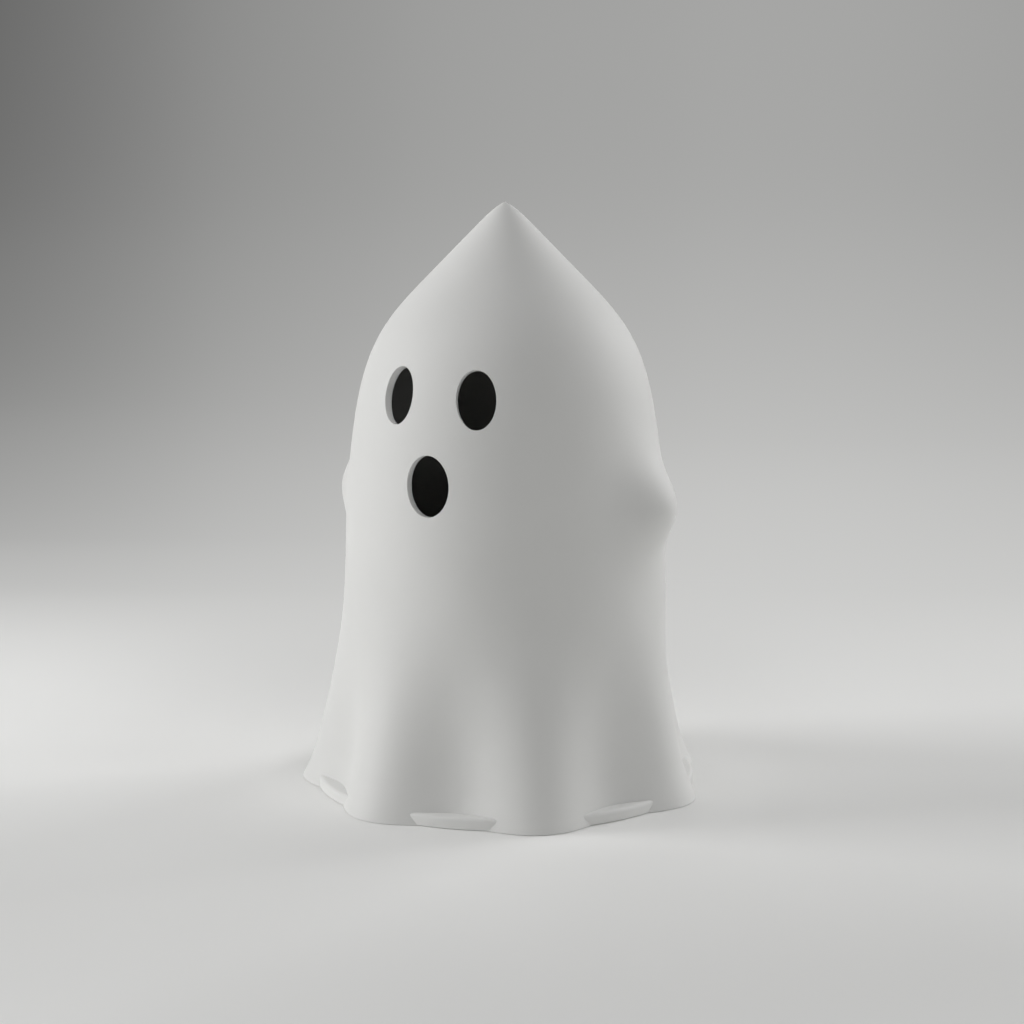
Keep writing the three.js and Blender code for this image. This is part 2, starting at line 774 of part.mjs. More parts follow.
// A thin panel with a knuckle at one end and a fingernail notch at the other.
function batteryDoor() {
  const half = KNUCKLE_LENGTH / 2;
  const knuckle = rod(KNUCKLE_R, -half, half, hingeY, hingeZ);
  const notchY = cellY - (wellR + DOOR_LIP - FIT);
  const notch = block(
    [-NAIL_WIDTH / 2, notchY - NAIL_DEPTH, doorBottom - FLOOR],
    [NAIL_WIDTH / 2, notchY + NAIL_DEPTH, doorBottom + DOOR_THICK / 2],
  );
  const beside = (x0, x1) =>
    block([x0, hingeY - hingeClear, doorBottom - FLOOR], [x1, hingeY + hingeClear, doorTop + FLOOR]);
  return plate(doorOutline(FIT, hingeY - KNUCKLE_R / 2), doorBottom, doorTop)
    .subtract(beside(-HINGE_WIDTH, -half))
    .subtract(beside(half, HINGE_WIDTH))
    .add(knuckle)
    .subtract(rod(PIN_R + PIN_PLAY, -HINGE_WIDTH, HINGE_WIDTH, hingeY, hingeZ))
    .subtract(notch);
}

function doorHingePin() {
  const end = KNUCKLE_LENGTH / 2 + FIT + PIN_GRIP;
  return rod(PIN_R, -end, end, hingeY, hingeZ);
}

// Switch, at its off position

const knobX = -SWITCH_TRAVEL / 2;

function switchKnob() {
  const bottom = KNOB_RECESS;
  const half = KNOB_LENGTH / 2;
  const halfWidth = KNOB_WIDTH / 2;
  const stem = block(
    [knobX - half, switchY - halfWidth, bottom],
    [knobX + half, switchY + halfWidth, carrierBottom + SINK],
  );
  const carrierX = half + CARRIER_OVERHANG;
  const carrierY = halfWidth + CARRIER_OVERHANG;
  const carrier = block(
    [knobX - carrierX, switchY - carrierY, carrierBottom],
    [knobX + carrierX, switchY + carrierY, carrierBottom + CARRIER_THICK],
  );
  let knob = stem.add(carrier);
  const pitch = KNOB_LENGTH / KNOB_RIBS;
  for (let i = 0; i < KNOB_RIBS; i++) {
    const x = knobX - half + pitch * (i + 0.5);
    const groove = block(
      [x - pitch / 4, switchY - KNOB_WIDTH, bottom - RIB_DEPTH],
      [x + pitch / 4, switchY + KNOB_WIDTH, bottom + RIB_DEPTH],
    );
    knob = knob.subtract(groove);
  }
  return knob;
}

function switchWiper() {
  return block(
    [knobX - WIPER_LENGTH / 2, switchY - WIPER_WIDTH / 2, wiperBottom],
    [knobX + WIPER_LENGTH / 2, switchY + WIPER_WIDTH / 2, wiperBottom + STRIP],
  );
}

// Assembly

const WHITE = "#dddddb";
const RUBBER = "#2b2b2b";
const WAX = "#efe6cf";
const FLAME = "#f3c987";
const LAMP = "#ffe2a8";
const STEEL = "#b9bcc0";
const BRASS = "#c8a55a";
const KNOB = "#2f2f31";

const lantern = new THREE.Group();

const base = new THREE.Group();
addPiece(base, "base_plate", basePlate(), WHITE, 0.7);
FEET.forEach((name, k) => addPiece(base, name, foot(k, 0), RUBBER, 0.9));
lantern.add(base);

const ghost = new THREE.Group();
addPiece(ghost, "ghost_shell", ghostShell(), WHITE, 0.7);
lantern.add(ghost);

const candle = new THREE.Group();
candle.position.z = PLATE_TOP;
addPiece(candle, "candle_cup", candleCup(), WAX, 0.5);
addPiece(candle, "candle_base", candleBase(), WAX, 0.5);
addPiece(candle, "candle_top", candleTop(), WAX, 0.5);
addPiece(candle, "flame_lens", flameLens(), FLAME, 0.35);
addPiece(candle, "led_lamp", ledLamp(), LAMP, 0.2);
addPiece(candle, "led_anode_lead", lampLead(-1), STEEL, 0.35, 1);
addPiece(candle, "led_cathode_lead", lampLead(1), STEEL, 0.35, 1);
addPiece(candle, "coin_cell", coinCell(), STEEL, 0.3, 1);
addPiece(candle, "contact_positive", contactPositive(), BRASS, 0.35, 1);
addPiece(candle, "contact_negative", contactNegative(), BRASS, 0.35, 1);
addPiece(candle, "contact_lamp", contactLamp(), BRASS, 0.35, 1);
addPiece(candle, "door_hinge_pin", doorHingePin(), STEEL, 0.35, 1);
lantern.add(candle);

const switchSlide = new THREE.Group();
addPiece(switchSlide, "switch_knob", switchKnob(), KNOB, 0.6);
addPiece(switchSlide, "switch_wiper", switchWiper(), BRASS, 0.35, 1);
candle.add(switchSlide);

const door = new THREE.Group();
addPiece(door, "battery_door", batteryDoor(), WAX, 0.5);
candle.add(door);

export default lantern;
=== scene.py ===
"""The ghost lantern's finish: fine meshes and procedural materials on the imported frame."""

import math

import bmesh
import bpy
import numpy as np
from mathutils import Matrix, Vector


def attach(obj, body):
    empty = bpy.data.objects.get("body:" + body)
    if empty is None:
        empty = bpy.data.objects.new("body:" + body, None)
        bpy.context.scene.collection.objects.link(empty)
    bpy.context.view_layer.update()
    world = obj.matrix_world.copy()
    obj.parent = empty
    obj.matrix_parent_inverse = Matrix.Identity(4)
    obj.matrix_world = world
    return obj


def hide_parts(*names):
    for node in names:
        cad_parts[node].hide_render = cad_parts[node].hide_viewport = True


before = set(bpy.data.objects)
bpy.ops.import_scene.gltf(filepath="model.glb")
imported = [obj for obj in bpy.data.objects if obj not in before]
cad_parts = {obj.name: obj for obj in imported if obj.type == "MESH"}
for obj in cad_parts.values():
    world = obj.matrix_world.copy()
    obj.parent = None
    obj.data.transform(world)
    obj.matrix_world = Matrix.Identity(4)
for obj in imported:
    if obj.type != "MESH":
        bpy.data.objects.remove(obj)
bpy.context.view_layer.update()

# Sizes are in millimetres and azimuths in degrees: 0 at the face (-Y), positive towards +X.
MM = 0.001
TINY = 0.001  # points nearer than this are joined, and a cut clears a face by as much
SHARP = 40  # edges that turn by more degrees than this are rounded, or shaded as sharp
OVER = 1  # how far a cutter reaches past what it cuts

# Draped figure: a cone at the tip, a curve down the body, a flare with folds, and a lip at the hem
HEIGHT = 150
WALL = 2.1
FLOOR_GAP = 0.12
BODY_R = 41.8
BODY_TOP = 6
CONE_DEPTH = 20
CONE_SLOPE = 0.98
NOSE = 1.45
NOSE_DEPTH = 1.24
BROW_PULL = 25
CHEEK_DEPTH = 45
FLARE = 6.8
FLARE_TOP = 66
FLARE_POWER = 2.5
LIP = 1.44
LIP_TOP = 9
LIP_POWER = 1.3
FOLD_DEPTH = 3.3
FOLD_TOP = 55
FOLDS = np.array([-103, -65.4, -14, 37.6, 89, 140.4, 193])
ARM_REACH = 6.7
ARM_DEPTH = 74.8
ARM_SPREAD = 10.5
ARM_SWEEP = 15.5
ARM_AZIMUTH = 90

# Openings: azimuth, depth below the tip, width, height and tilt. Each takes the place of a patch of
# the grid, of which PATCH_SWEEP and PATCH_RISE are half. Its inner edge is rounded by RIM_ROUND and
# its outer edge by OUTER_SHARE of that, and the wall is RIM_LIP thicker at the edge.
EYE_RIGHT = dict(azimuth=16.3, depth=46, width=9.9, height=14.75, tilt=4.5)
EYE_LEFT = dict(azimuth=-18.2, depth=46, width=9.7, height=14.5, tilt=6)
MOUTH = dict(azimuth=-1.1, depth=67.3, width=11.6, height=15.1, tilt=5)
PATCH_SWEEP = 11.5
PATCH_RISE = 10.2
RIM_ROUND = 1.0
OUTER_SHARE = 0.3
RIM_LIP = 0.25

# Fineness of the figure and of the round pieces
COLUMNS = 240
ROW_PITCH = 1.2
TIP_ROWS = 12
LIP_ROWS = 8
PATCH_RINGS = (0.3, 0.5, 0.63)
WALL_RINGS = 2
PLATE_SIDES = 240
ROOM_SIDES = 236  # not COLUMNS, so that the cut misses the points of the grid
CUP_SIDES = 160
CELL_SIDES = 128
FLAME_SIDES = 96
SMALL_SIDES = 64
BACKDROP_SIDES = 96
ROD_SIDES = 48

# Base plate. The figure is drawn seated on it, CLOSE off its rim and its top. PLATE_ROUND is the
# rounding of its upper rim, and PLATE_EDGE that of its other edges.
FIT = 0.3
CLOSE = 0.02
PLATE_MARGIN = 3.6
PLATE_TOP = 3
PLATE_ROUND = 1.0
PLATE_EDGE = 0.2
ROOM_BOTTOM = -5
CUP_BEARING = 2.5
SEAT_WALL = 2
SEAT_HEIGHT = 4
GRIP_WIDTH = 16
TAB_HEIGHT = 6
TAB_THICK = 1.8
TAB_SWEEP = 12
TAB_VALLEYS = (1, 3, 5, 6)
BLOCK_ROUND = 0.35
SINK = 0.1

# Feet
FOOT_R = 5
FOOT_THICK = 1.4
FOOT_INSET = 10.9
FOOT_ROUND = 0.35
FOOT_DISH = ((0, 0.2), (2.4, 0.2), (2.9, 0.06), (3.2, 0))
FEET = ("foot_back_right", "foot_back_left", "foot_front_left", "foot_front_right")

# Tea light, from its own underside up. SEAT is the play under pieces that lie in it.
CUP_R = 19
CUP_WALL = 1
CUP_HEIGHT = 20
TOP_Z = 16
TOP_THICK = 1.2
POOL_R = 8
POOL_RISE = 0.8
LEDGE = 1.4
LEDGE_THICK = 0.7
LEDGE_Z = 15.9
NECK_R = 4.3
NECK_HEIGHT = 1.4
NECK_FILLET = 0.5
WAX_ROUND = 0.2
FLAME_R = 6.4
FLAME_HEIGHT = 20.5
FLAME_WALL = 1
FLAME_OUTLINE = ((1, 0.26), (0.76, 0.55), (0.28, 0.85), (0, 1))
FLAME_SHADES = (20.4, 40.8)  # heights over the floor between which its colour changes
SEAT = 0.1

# Lamp
LED_R = 2.5
LED_RIM = 0.4
LED_FLANGE = 1
LED_LENGTH = 8.6
LED_ROUND = 0.15

# Battery compartment, door and switch
COMPARTMENT_R = 17.7
CELL_R = 10
CELL_THICK = 3.2
CELL_RIM = 1
CELL_STEP = 0.4
CELL_ROUND = 0.4
CAP_TAPER = 0.1
CAP_ROUND = 0.25
GASKET_WIDTH = 0.25
GASKET_DEPTH = 0.08
CELL_Y = -5.3
CELL_CENTRE = (0, CELL_Y)
WELL_R = 10.4
WELL_WALL = 1.2
WELL_FOOT = 1  # inside the floor, so that the two join
FLOOR = 1.8
SKIRT_WALL = 1.2
SKIRT_HEIGHT = 8
SKIRT_ROUND = 0.3
CEILING_Z = 6.1
LID_Z = 7.1
HINGE_Y = 6.2
HINGE_Z = 1.0
HINGE_WIDTH = 15
KNUCKLE_R = 0.8
KNUCKLE_LENGTH = 11
PIN_R = 0.45
PIN_PLAY = 0.15
PIN_GRIP = 2
DOOR_THICK = 1.4
DOOR_LIP = 0.6
DOOR_ROUND = 0.12
NAIL_WIDTH = 6
NAIL_DEPTH = 1.2
SWITCH_Y = 11.8
SLOT_X = 4.3
SLOT_Y = 1.7
STRIP_WIDTH = 2
STRIP = 0.3
POSITIVE_X = -10.1
NEGATIVE_X = -1.2


# Figure's surface, as in the solid model


def bezier_curve(points, steps):
    t = np.linspace(0, 1, steps)[:, None]
    p0, p1, p2, p3 = (np.array(p, float) for p in points)
    return (1 - t) ** 3 * p0 + 3 * (1 - t) ** 2 * t * p1 + 3 * (1 - t) * t**2 * p2 + t**3 * p3


def brow_points():
    start = np.array([CONE_SLOPE * CONE_DEPTH + NOSE, HEIGHT - CONE_DEPTH])
    line = np.array([CONE_SLOPE, -1]) / math.hypot(CONE_SLOPE, 1)
    end = np.array([BODY_R, BODY_TOP])
    return start, start + BROW_PULL * line, np.array([BODY_R, HEIGHT - CHEEK_DEPTH]), end


BROW = bezier_curve(brow_points(), 4001)


def profile_radius(z):
    depth = HEIGHT - z
    cone = CONE_SLOPE * depth + NOSE * (1 - np.exp(-np.maximum(depth, 0) / NOSE_DEPTH))
    brow = np.interp(-z, -BROW[:, 1], BROW[:, 0])
    return np.where(depth <= CONE_DEPTH, cone, brow)


def plain_radius(z):
    skirt = np.maximum(0, (FLARE_TOP - z) / FLARE_TOP)
    lip = np.maximum(0, (LIP_TOP - z) / LIP_TOP)
    return profile_radius(z) + FLARE * skirt**FLARE_POWER + LIP * lip**LIP_POWER


def fold_wave(azimuth):
    ends = np.append(FOLDS, FOLDS[0] + 360)
    a = (azimuth - FOLDS[0]) % 360 + FOLDS[0]
    k = np.searchsorted(ends, a, side="right") - 1
    k = np.clip(k, 0, len(FOLDS) - 1)
    return np.cos(2 * np.pi * (a - ends[k]) / (ends[k + 1] - ends[k]))


def fold_depth(z):
    share = np.clip((FOLD_TOP - z) / FOLD_TOP, 0, 1)
    return FOLD_DEPTH * share**2 * (3 - 2 * share)


def arm_reach(azimuth, z):
    rise = (z - (HEIGHT - ARM_DEPTH)) / ARM_SPREAD
    total = 0
    for side in (ARM_AZIMUTH, -ARM_AZIMUTH):
        turn = (azimuth - side + 180) % 360 - 180
        total = total + ARM_REACH * np.exp(-((turn / ARM_SWEEP) ** 2) - rise**2)
    return total


def cloth(azimuth, z, depth):
    """Points of the cloth, depth mm inside its outer surface, as an array with x, y, z last."""
    azimuth, z = np.broadcast_arrays(np.asarray(azimuth, float), np.asarray(z, float))
    above = np.minimum(HEIGHT, z + 0.5)
    below = z - 0.5
    lean = (plain_radius(below) - plain_radius(above)) / (above - below)
    length = np.hypot(1, lean)
    radius = plain_radius(z) + fold_depth(z) * fold_wave(azimuth) + arm_reach(azimuth, z)
    radius = radius - depth / length
    angle = np.radians(azimuth)
    return np.stack([radius * np.sin(angle), -radius * np.cos(angle), z - depth * lean / length], -1)


PLATE_R = float(plain_radius(PLATE_TOP) - fold_depth(PLATE_TOP)) + PLATE_MARGIN
CUT_R = PLATE_R + CLOSE


# Mesh helpers


def link(name, mesh):
    piece = bpy.data.objects.new(name, mesh)
    bpy.context.scene.collection.objects.link(piece)
    return piece


def new_object(name, points, faces, groups=(), rims=()):
    """A mesh object from points in millimetres, with doubled points joined.

    The faces whose numbers are in the first group get the second material, and so on. Each of the
    rims is a pair: the numbers of its points, and the share of the bevel's width for its edge."""
    mesh = bpy.data.meshes.new(name)
    mesh.from_pydata((np.asarray(points, float) * MM).tolist(), [], faces)
    shares = np.zeros(len(points), np.float32)
    for ring, share in rims:
        shares[ring] = share
    mesh.attributes.new("rim", "FLOAT", "POINT").data.foreach_set("value", shares)
    marks = np.zeros(len(faces), int)
    for k, group in enumerate(groups):
        marks[list(group)] = k + 1
    mesh.polygons.foreach_set("material_index", marks)
    work = bmesh.new()
    work.from_mesh(mesh)
    bmesh.ops.remove_doubles(work, verts=work.verts, dist=TINY * MM)
    loose = [v for v in work.verts if not v.link_faces]
    bmesh.ops.delete(work, geom=loose, context="VERTS")
    bmesh.ops.recalc_face_normals(work, faces=work.faces)
    for face in work.faces:
        face.smooth = True
    rim = work.verts.layers.float["rim"]
    weight = work.edges.layers.float.new("bevel_weight_edge")
    for edge in work.edges:
        edge[weight] = min(vertex[rim] for vertex in edge.verts)
    work.to_mesh(mesh)
    work.free()
    mesh.attributes.remove(mesh.attributes["rim"])
    return link(name, mesh)


def bevel(piece, width, segments, limit="ANGLE"):
    """Rounds a piece's sharp edges by width mm, or the edges with a weight if the limit says so."""
    change = piece.modifiers.new("edges", "BEVEL")
    change.width = width * MM
    change.segments = segments
    change.limit_method = limit
    change.angle_limit = math.radians(SHARP)
    return change


def round_edges(piece, width, segments=3):
    """Rounds a piece's sharp edges by width mm, with shading that keeps its faces flat."""
    bevel(piece, width, segments).harden_normals = False
    piece.modifiers.new("shading", "WEIGHTED_NORMAL").keep_sharp = True
    return piece


def crease(piece):
    """Marks a piece's sharp edges for the shading, so that its flat faces stay flat."""
    work = bmesh.new()
    work.from_mesh(piece.data)
    for edge in work.edges:
        edge.smooth = not edge.is_manifold or edge.calc_face_angle() < math.radians(SHARP)
    work.to_mesh(piece.data)
    work.free()
    piece.modifiers.new("shading", "WEIGHTED_NORMAL").keep_sharp = True
    return piece


def baked(piece):
    """A copy of the piece's mesh with its modifiers applied."""
    graph = bpy.context.evaluated_depsgraph_get()
    return bpy.data.meshes.new_from_object(piece.evaluated_get(graph))


def boolean(piece, *cutters, operation="DIFFERENCE"):
    """Cuts or joins a piece with others, which are used up."""
    for cutter in cutters:
        change = piece.modifiers.new("boolean", "BOOLEAN")
        change.operation = operation
        change.solver = "EXACT"
        change.object = cutter
    result = baked(piece)
    piece.modifiers.clear()
    piece.data = result
    for polygon in result.polygons:
        polygon.use_smooth = True
    for cutter in cutters:
        bpy.data.objects.remove(cutter)
    return piece


def join(name, *parts):
    """One object from several, with their modifiers applied."""
    work = bmesh.new()
    for part in parts:
        work.from_mesh(baked(part))
        bpy.data.objects.remove(part)
    mesh = bpy.data.meshes.new(name)
    work.to_mesh(mesh)
    work.free()
    return link(name, mesh)


def rounded(corners, radius, steps=4, first=0, last=None):
    """A closed profile of (r, z) corners, each rounded by radius mm as far as its sides allow.

    Gives the points of the corners from number first up to number last, or of all of them."""
    result = []
    count = len(corners)
    for i in range(count)[first:last]:
        here = Vector(corners[i])
        before = Vector(corners[i - 1]) - here
        after = Vector(corners[(i + 1) % count]) - here
        reach = min(radius, 0.45 * before.length, 0.45 * after.length)
        start = here + before.normalized() * reach
        end = here + after.normalized() * reach
        for k in range(steps + 1):
            t = k / steps
            point = start * (1 - t) ** 2 + here * 2 * t * (1 - t) + end * t**2
            result.append((point.x, point.y))
    return result


def arc(centre, radius, start, end, count):
    """Points on an arc from one angle to the other."""
    angles = np.linspace(start, end, count)
    return [(centre[0] + radius * math.cos(a), centre[1] + radius * math.sin(a)) for a in angles]


def lathe(name, profile, sides, centre=(0, 0)):
    """A body of revolution from (radius, height) points, closed on the axis or else on itself."""
    angles = np.linspace(0, 2 * np.pi, sides, endpoint=False)
    ring = np.stack([np.cos(angles), np.sin(angles)], -1)
    points = []
    for radius, height in profile:
        flat = ring * radius + centre
        points.extend([x, y, height] for x, y in flat)
    count = len(profile)
    on_axis = profile[0][0] == 0
    faces = []
    for row in range(count - 1 if on_axis else count):
        after = (row + 1) % count
        for i in range(sides):
            j = (i + 1) % sides
            near = [row * sides + i, row * sides + j]
            far = [after * sides + j, after * sides + i]
            if profile[row][0] == 0:
                near = near[:1]
            if profile[after][0] == 0:
                far = far[:1]
            faces.append(near + far)
    return new_object(name, points, faces)


def cylinder(name, radius, low, high, sides, centre):
    return lathe(name, [(0, low), (radius, low), (radius, high), (0, high)], sides, centre)


def prism(name, outline, low, high):
    """An upright prism over a flat outline of (x, y) points."""
    count = len(outline)
    points = [(x, y, low) for x, y in outline] + [(x, y, high) for x, y in outline]
    faces = [list(range(count)), list(range(count, 2 * count))]
    for i in range(count):
        j = (i + 1) % count
        faces.append([i, j, count + j, count + i])
    return new_object(name, points, faces)


def block(name, low, high):
    outline = [(low[0], low[1]), (high[0], low[1]), (high[0], high[1]), (low[0], high[1])]
    return prism(name, outline, low[2], high[2])


def swept(name, sections):
    """A solid through matching cross-sections, capped at both ends."""
    count = len(sections[0])
    points = [point for section in sections for point in section]
    faces = [list(range(count)), list(range(len(points) - count, len(points)))]
    for near in range(0, len(points) - count, count):
        far = near + count
        for i in range(count):
            j = (i + 1) % count
            faces.append([near + i, near + j, far + j, far + i])
    return new_object(name, points, faces)


def rod(name, radius, x0, x1, y, z):
    """A rod along X."""
    sections = []
    for x in (x0, x1):
        section = []
        for i in range(ROD_SIDES):
            angle = 2 * math.pi * i / ROD_SIDES
            section.append((x, y + radius * math.cos(angle), z + radius * math.sin(angle)))
        sections.append(section)
    return swept(name, sections)


def place(piece, body, node, slot, *materials):
    """Puts a finished piece on its body, in its CAD node's stead."""
    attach(piece, body)
    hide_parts(node)
    for material in materials:
        piece.data.materials.append(material)
    return piece


# Materials, all in object coordinates


def tree(material):
    return material.node_tree.nodes, material.node_tree.links


def surface(name, roughness, metallic=0.0, specular=0.5):
    material = bpy.data.materials.new(name)
    material.use_nodes = True
    shader = material.node_tree.nodes["Principled BSDF"]
    shader.inputs["Roughness"].default_value = roughness
    shader.inputs["Metallic"].default_value = metallic
    shader.inputs["Specular IOR Level"].default_value = specular
    return material


def noise(material, scale, detail=2.0, stretch=(1, 1, 1)):
    """Noise over the object's own coordinates, stretched along its axes."""
    nodes, links = tree(material)
    where = nodes.new("ShaderNodeTexCoord")
    mapping = nodes.new("ShaderNodeMapping")
    mapping.inputs["Scale"].default_value = stretch
    texture = nodes.new("ShaderNodeTexNoise")
    texture.inputs["Scale"].default_value = scale
    texture.inputs["Detail"].default_value = detail
    links.new(where.outputs["Object"], mapping.inputs["Vector"])
    links.new(mapping.outputs["Vector"], texture.inputs["Vector"])
    return texture.outputs["Fac"]


def math_node(material, operation, a, b=0.0, c=0.0):
    """A math node on sockets or plain numbers."""
    nodes, links = tree(material)
    node = nodes.new("ShaderNodeMath")
    node.operation = operation
    for socket, value in zip(node.inputs, (a, b, c)):
        if isinstance(value, (int, float)):
            socket.default_value = value
        else:
            links.new(value, socket)
    return node.outputs["Value"]


def cloud(material, field, low, high):
    """The base colour runs from low to high with the field."""
    nodes, links = tree(material)
    ramp = nodes.new("ShaderNodeValToRGB")
    ramp.color_ramp.elements[0].position = 0.3
    ramp.color_ramp.elements[0].color = (*low, 1)
    ramp.color_ramp.elements[1].position = 0.7
    ramp.color_ramp.elements[1].color = (*high, 1)
    links.new(field, ramp.inputs["Fac"])
    links.new(ramp.outputs["Color"], nodes["Principled BSDF"].inputs["Base Color"])


def patchy_gloss(material, field, spread):
    """The roughness varies with the field by spread either way."""
    nodes, links = tree(material)
    shader = nodes["Principled BSDF"]
    middle = shader.inputs["Roughness"].default_value
    scale = nodes.new("ShaderNodeMapRange")
    scale.inputs["To Min"].default_value = middle - spread
    scale.inputs["To Max"].default_value = middle + spread
    links.new(field, scale.inputs["Value"])
    links.new(scale.outputs["Result"], shader.inputs["Roughness"])


def relief(material, field, depth, strength):
    """A bump of depth mm from the field."""
    nodes, links = tree(material)
    bump = nodes.new("ShaderNodeBump")
    bump.inputs["Strength"].default_value = strength
    bump.inputs["Distance"].default_value = depth * MM
    links.new(field, bump.inputs["Height"])
    links.new(bump.outputs["Normal"], nodes["Principled BSDF"].inputs["Normal"])


def soften(material, weight, radius, scale):
    """Light that goes in and comes out up to scale mm further on, by colour."""
    shader = material.node_tree.nodes["Principled BSDF"]
    shader.inputs["Subsurface Weight"].default_value = weight
    shader.inputs["Subsurface Radius"].default_value = radius
    shader.inputs["Subsurface Scale"].default_value = scale * MM


def moulded_plastic(name, low, high, roughness, grain=0.004):
    """Moulded plastic: faint clouding, patchy gloss and a fine grain from the mould."""
    material = surface(name, roughness, specular=0.4)
    patches = noise(material, 28, 3)
    cloud(material, patches, low, high)
    patchy_gloss(material, patches, 0.05)
    relief(material, noise(material, 2600), grain, 0.3)
    return material


def sheet_metal(name, low, high, roughness, stretch):
    """Rolled metal: fine scratches along one axis and cloudy wear."""
    material = surface(name, roughness, metallic=1)
    cloud(material, noise(material, 160, 3), low, high)
    scratches = noise(material, 900, 3, stretch)
    patchy_gloss(material, scratches, 0.09)
    relief(material, scratches, 0.004, 0.4)
    return material


# The figure's outside, its inside darkened as painted shade, and the cut faces of its openings made
# paler as painted light, then the rest
GHOST_OUTSIDE = moulded_plastic("ghost_outside", (0.77, 0.77, 0.755), (0.80, 0.80, 0.785), 0.62)
GHOST_INSIDE_PAINTED_SHADE = moulded_plastic("ghost_inside_painted_shade", (0.53, 0.53, 0.515), (0.58, 0.58, 0.565), 0.75)
GHOST_EDGE_PAINTED_LIGHT = moulded_plastic("ghost_edge_painted_light", (0.87, 0.87, 0.855), (0.90, 0.90, 0.885), 0.62)
# The base is the figure's white plastic, made paler as painted light on the plate where the cloth
# shades it
BASE_PLASTIC_PAINTED_LIGHT = moulded_plastic("base_plastic_painted_light", (0.80, 0.80, 0.785), (0.84, 0.84, 0.825), 0.6)
RUBBER = moulded_plastic("foot_rubber", (0.018, 0.018, 0.018), (0.030, 0.030, 0.030), 0.85, 0.01)
KNOB_BLACK = moulded_plastic("knob_black", (0.022, 0.022, 0.024), (0.032, 0.032, 0.034), 0.55)
GASKET = moulded_plastic("cell_gasket", (0.05, 0.05, 0.05), (0.07, 0.07, 0.07), 0.5)
STEEL = sheet_metal("steel", (0.58, 0.59, 0.60), (0.68, 0.69, 0.70), 0.32, (1, 12, 1))
BRASS = sheet_metal("contact_brass", (0.70, 0.52, 0.24), (0.80, 0.62, 0.32), 0.33, (14, 1, 1))


def wax_plastic():
    """Ivory plastic with the waxy depth and soft waviness of a poured candle."""
    material = moulded_plastic("wax_plastic", (0.78, 0.72, 0.58), (0.84, 0.79, 0.66), 0.45, 0.02)
    soften(material, 0.25, (1.0, 0.8, 0.5), 1.5)
    return material


def flame_plastic():
    """Milky amber plastic, deepest in colour round the belly and paler towards the tip."""
    material = surface("flame_plastic", 0.32)
    nodes, links = tree(material)
    where = nodes.new("ShaderNodeTexCoord")
    axes = nodes.new("ShaderNodeSeparateXYZ")
    links.new(where.outputs["Object"], axes.inputs["Vector"])
    height = nodes.new("ShaderNodeMapRange")
    height.inputs["From Min"].default_value = FLAME_SHADES[0] * MM
    height.inputs["From Max"].default_value = FLAME_SHADES[1] * MM
    links.new(axes.outputs["Z"], height.inputs["Value"])
    swirl = math_node(material, "MULTIPLY_ADD", noise(material, 220, 3), 0.25, height.outputs["Result"])
    cloud(material, swirl, (0.80, 0.43, 0.12), (0.88, 0.66, 0.36))
    soften(material, 0.5, (1.0, 0.6, 0.25), 2)
    relief(material, noise(material, 240), 0.05, 0.5)
    return material


def lamp_epoxy():
    """Tinted clear epoxy."""
    material = surface("lamp_epoxy", 0.12)
    shader = material.node_tree.nodes["Principled BSDF"]
    shader.inputs["Transmission Weight"].default_value = 0.7
    haze = noise(material, 500, 2)
    cloud(material, haze, (0.90, 0.72, 0.38), (0.95, 0.80, 0.50))
    patchy_gloss(material, haze, 0.04)
    return material


WAX = wax_plastic()
FLAME = flame_plastic()
EPOXY = lamp_epoxy()


# Ghost shell


def rim_parameters(opening, depth, angles):
    """Azimuths and heights at which the opening's straight cut meets the cloth at that depth."""
    level = HEIGHT - opening["depth"]
    centre = cloth(opening["azimuth"], level, 0)
    inward = centre - cloth(opening["azimuth"], level, WALL)
    normal = inward / np.linalg.norm(inward)
    turn = math.radians(opening["azimuth"])
    side = np.array([math.cos(turn), math.sin(turn), 0])
    up = np.cross(normal, side)
    tilt = math.radians(opening["tilt"])
    across = opening["width"] / 2 * np.cos(angles)
    rise = opening["height"] / 2 * np.sin(angles)
    u = across * math.cos(tilt) - rise * math.sin(tilt)
    v = across * math.sin(tilt) + rise * math.cos(tilt)

    def miss(azimuth, z):
        offset = cloth(azimuth, z, depth) - centre
        return np.stack([offset @ side - u, offset @ up - v], -1)

    azimuth = opening["azimuth"] + np.degrees(u / np.linalg.norm(centre[:2]))
    z = level + v
    small = 1e-3
    for _ in range(8):
        now = miss(azimuth, z)
        by_azimuth = (miss(azimuth + small, z) - now) / small
        by_z = (miss(azimuth, z + small) - now) / small
        slope = np.stack([by_azimuth, by_z], -1)
        step = np.linalg.solve(slope, now[..., None])[..., 0]
        azimuth = azimuth - step[:, 0]
        z = z - step[:, 1]
    return azimuth, z


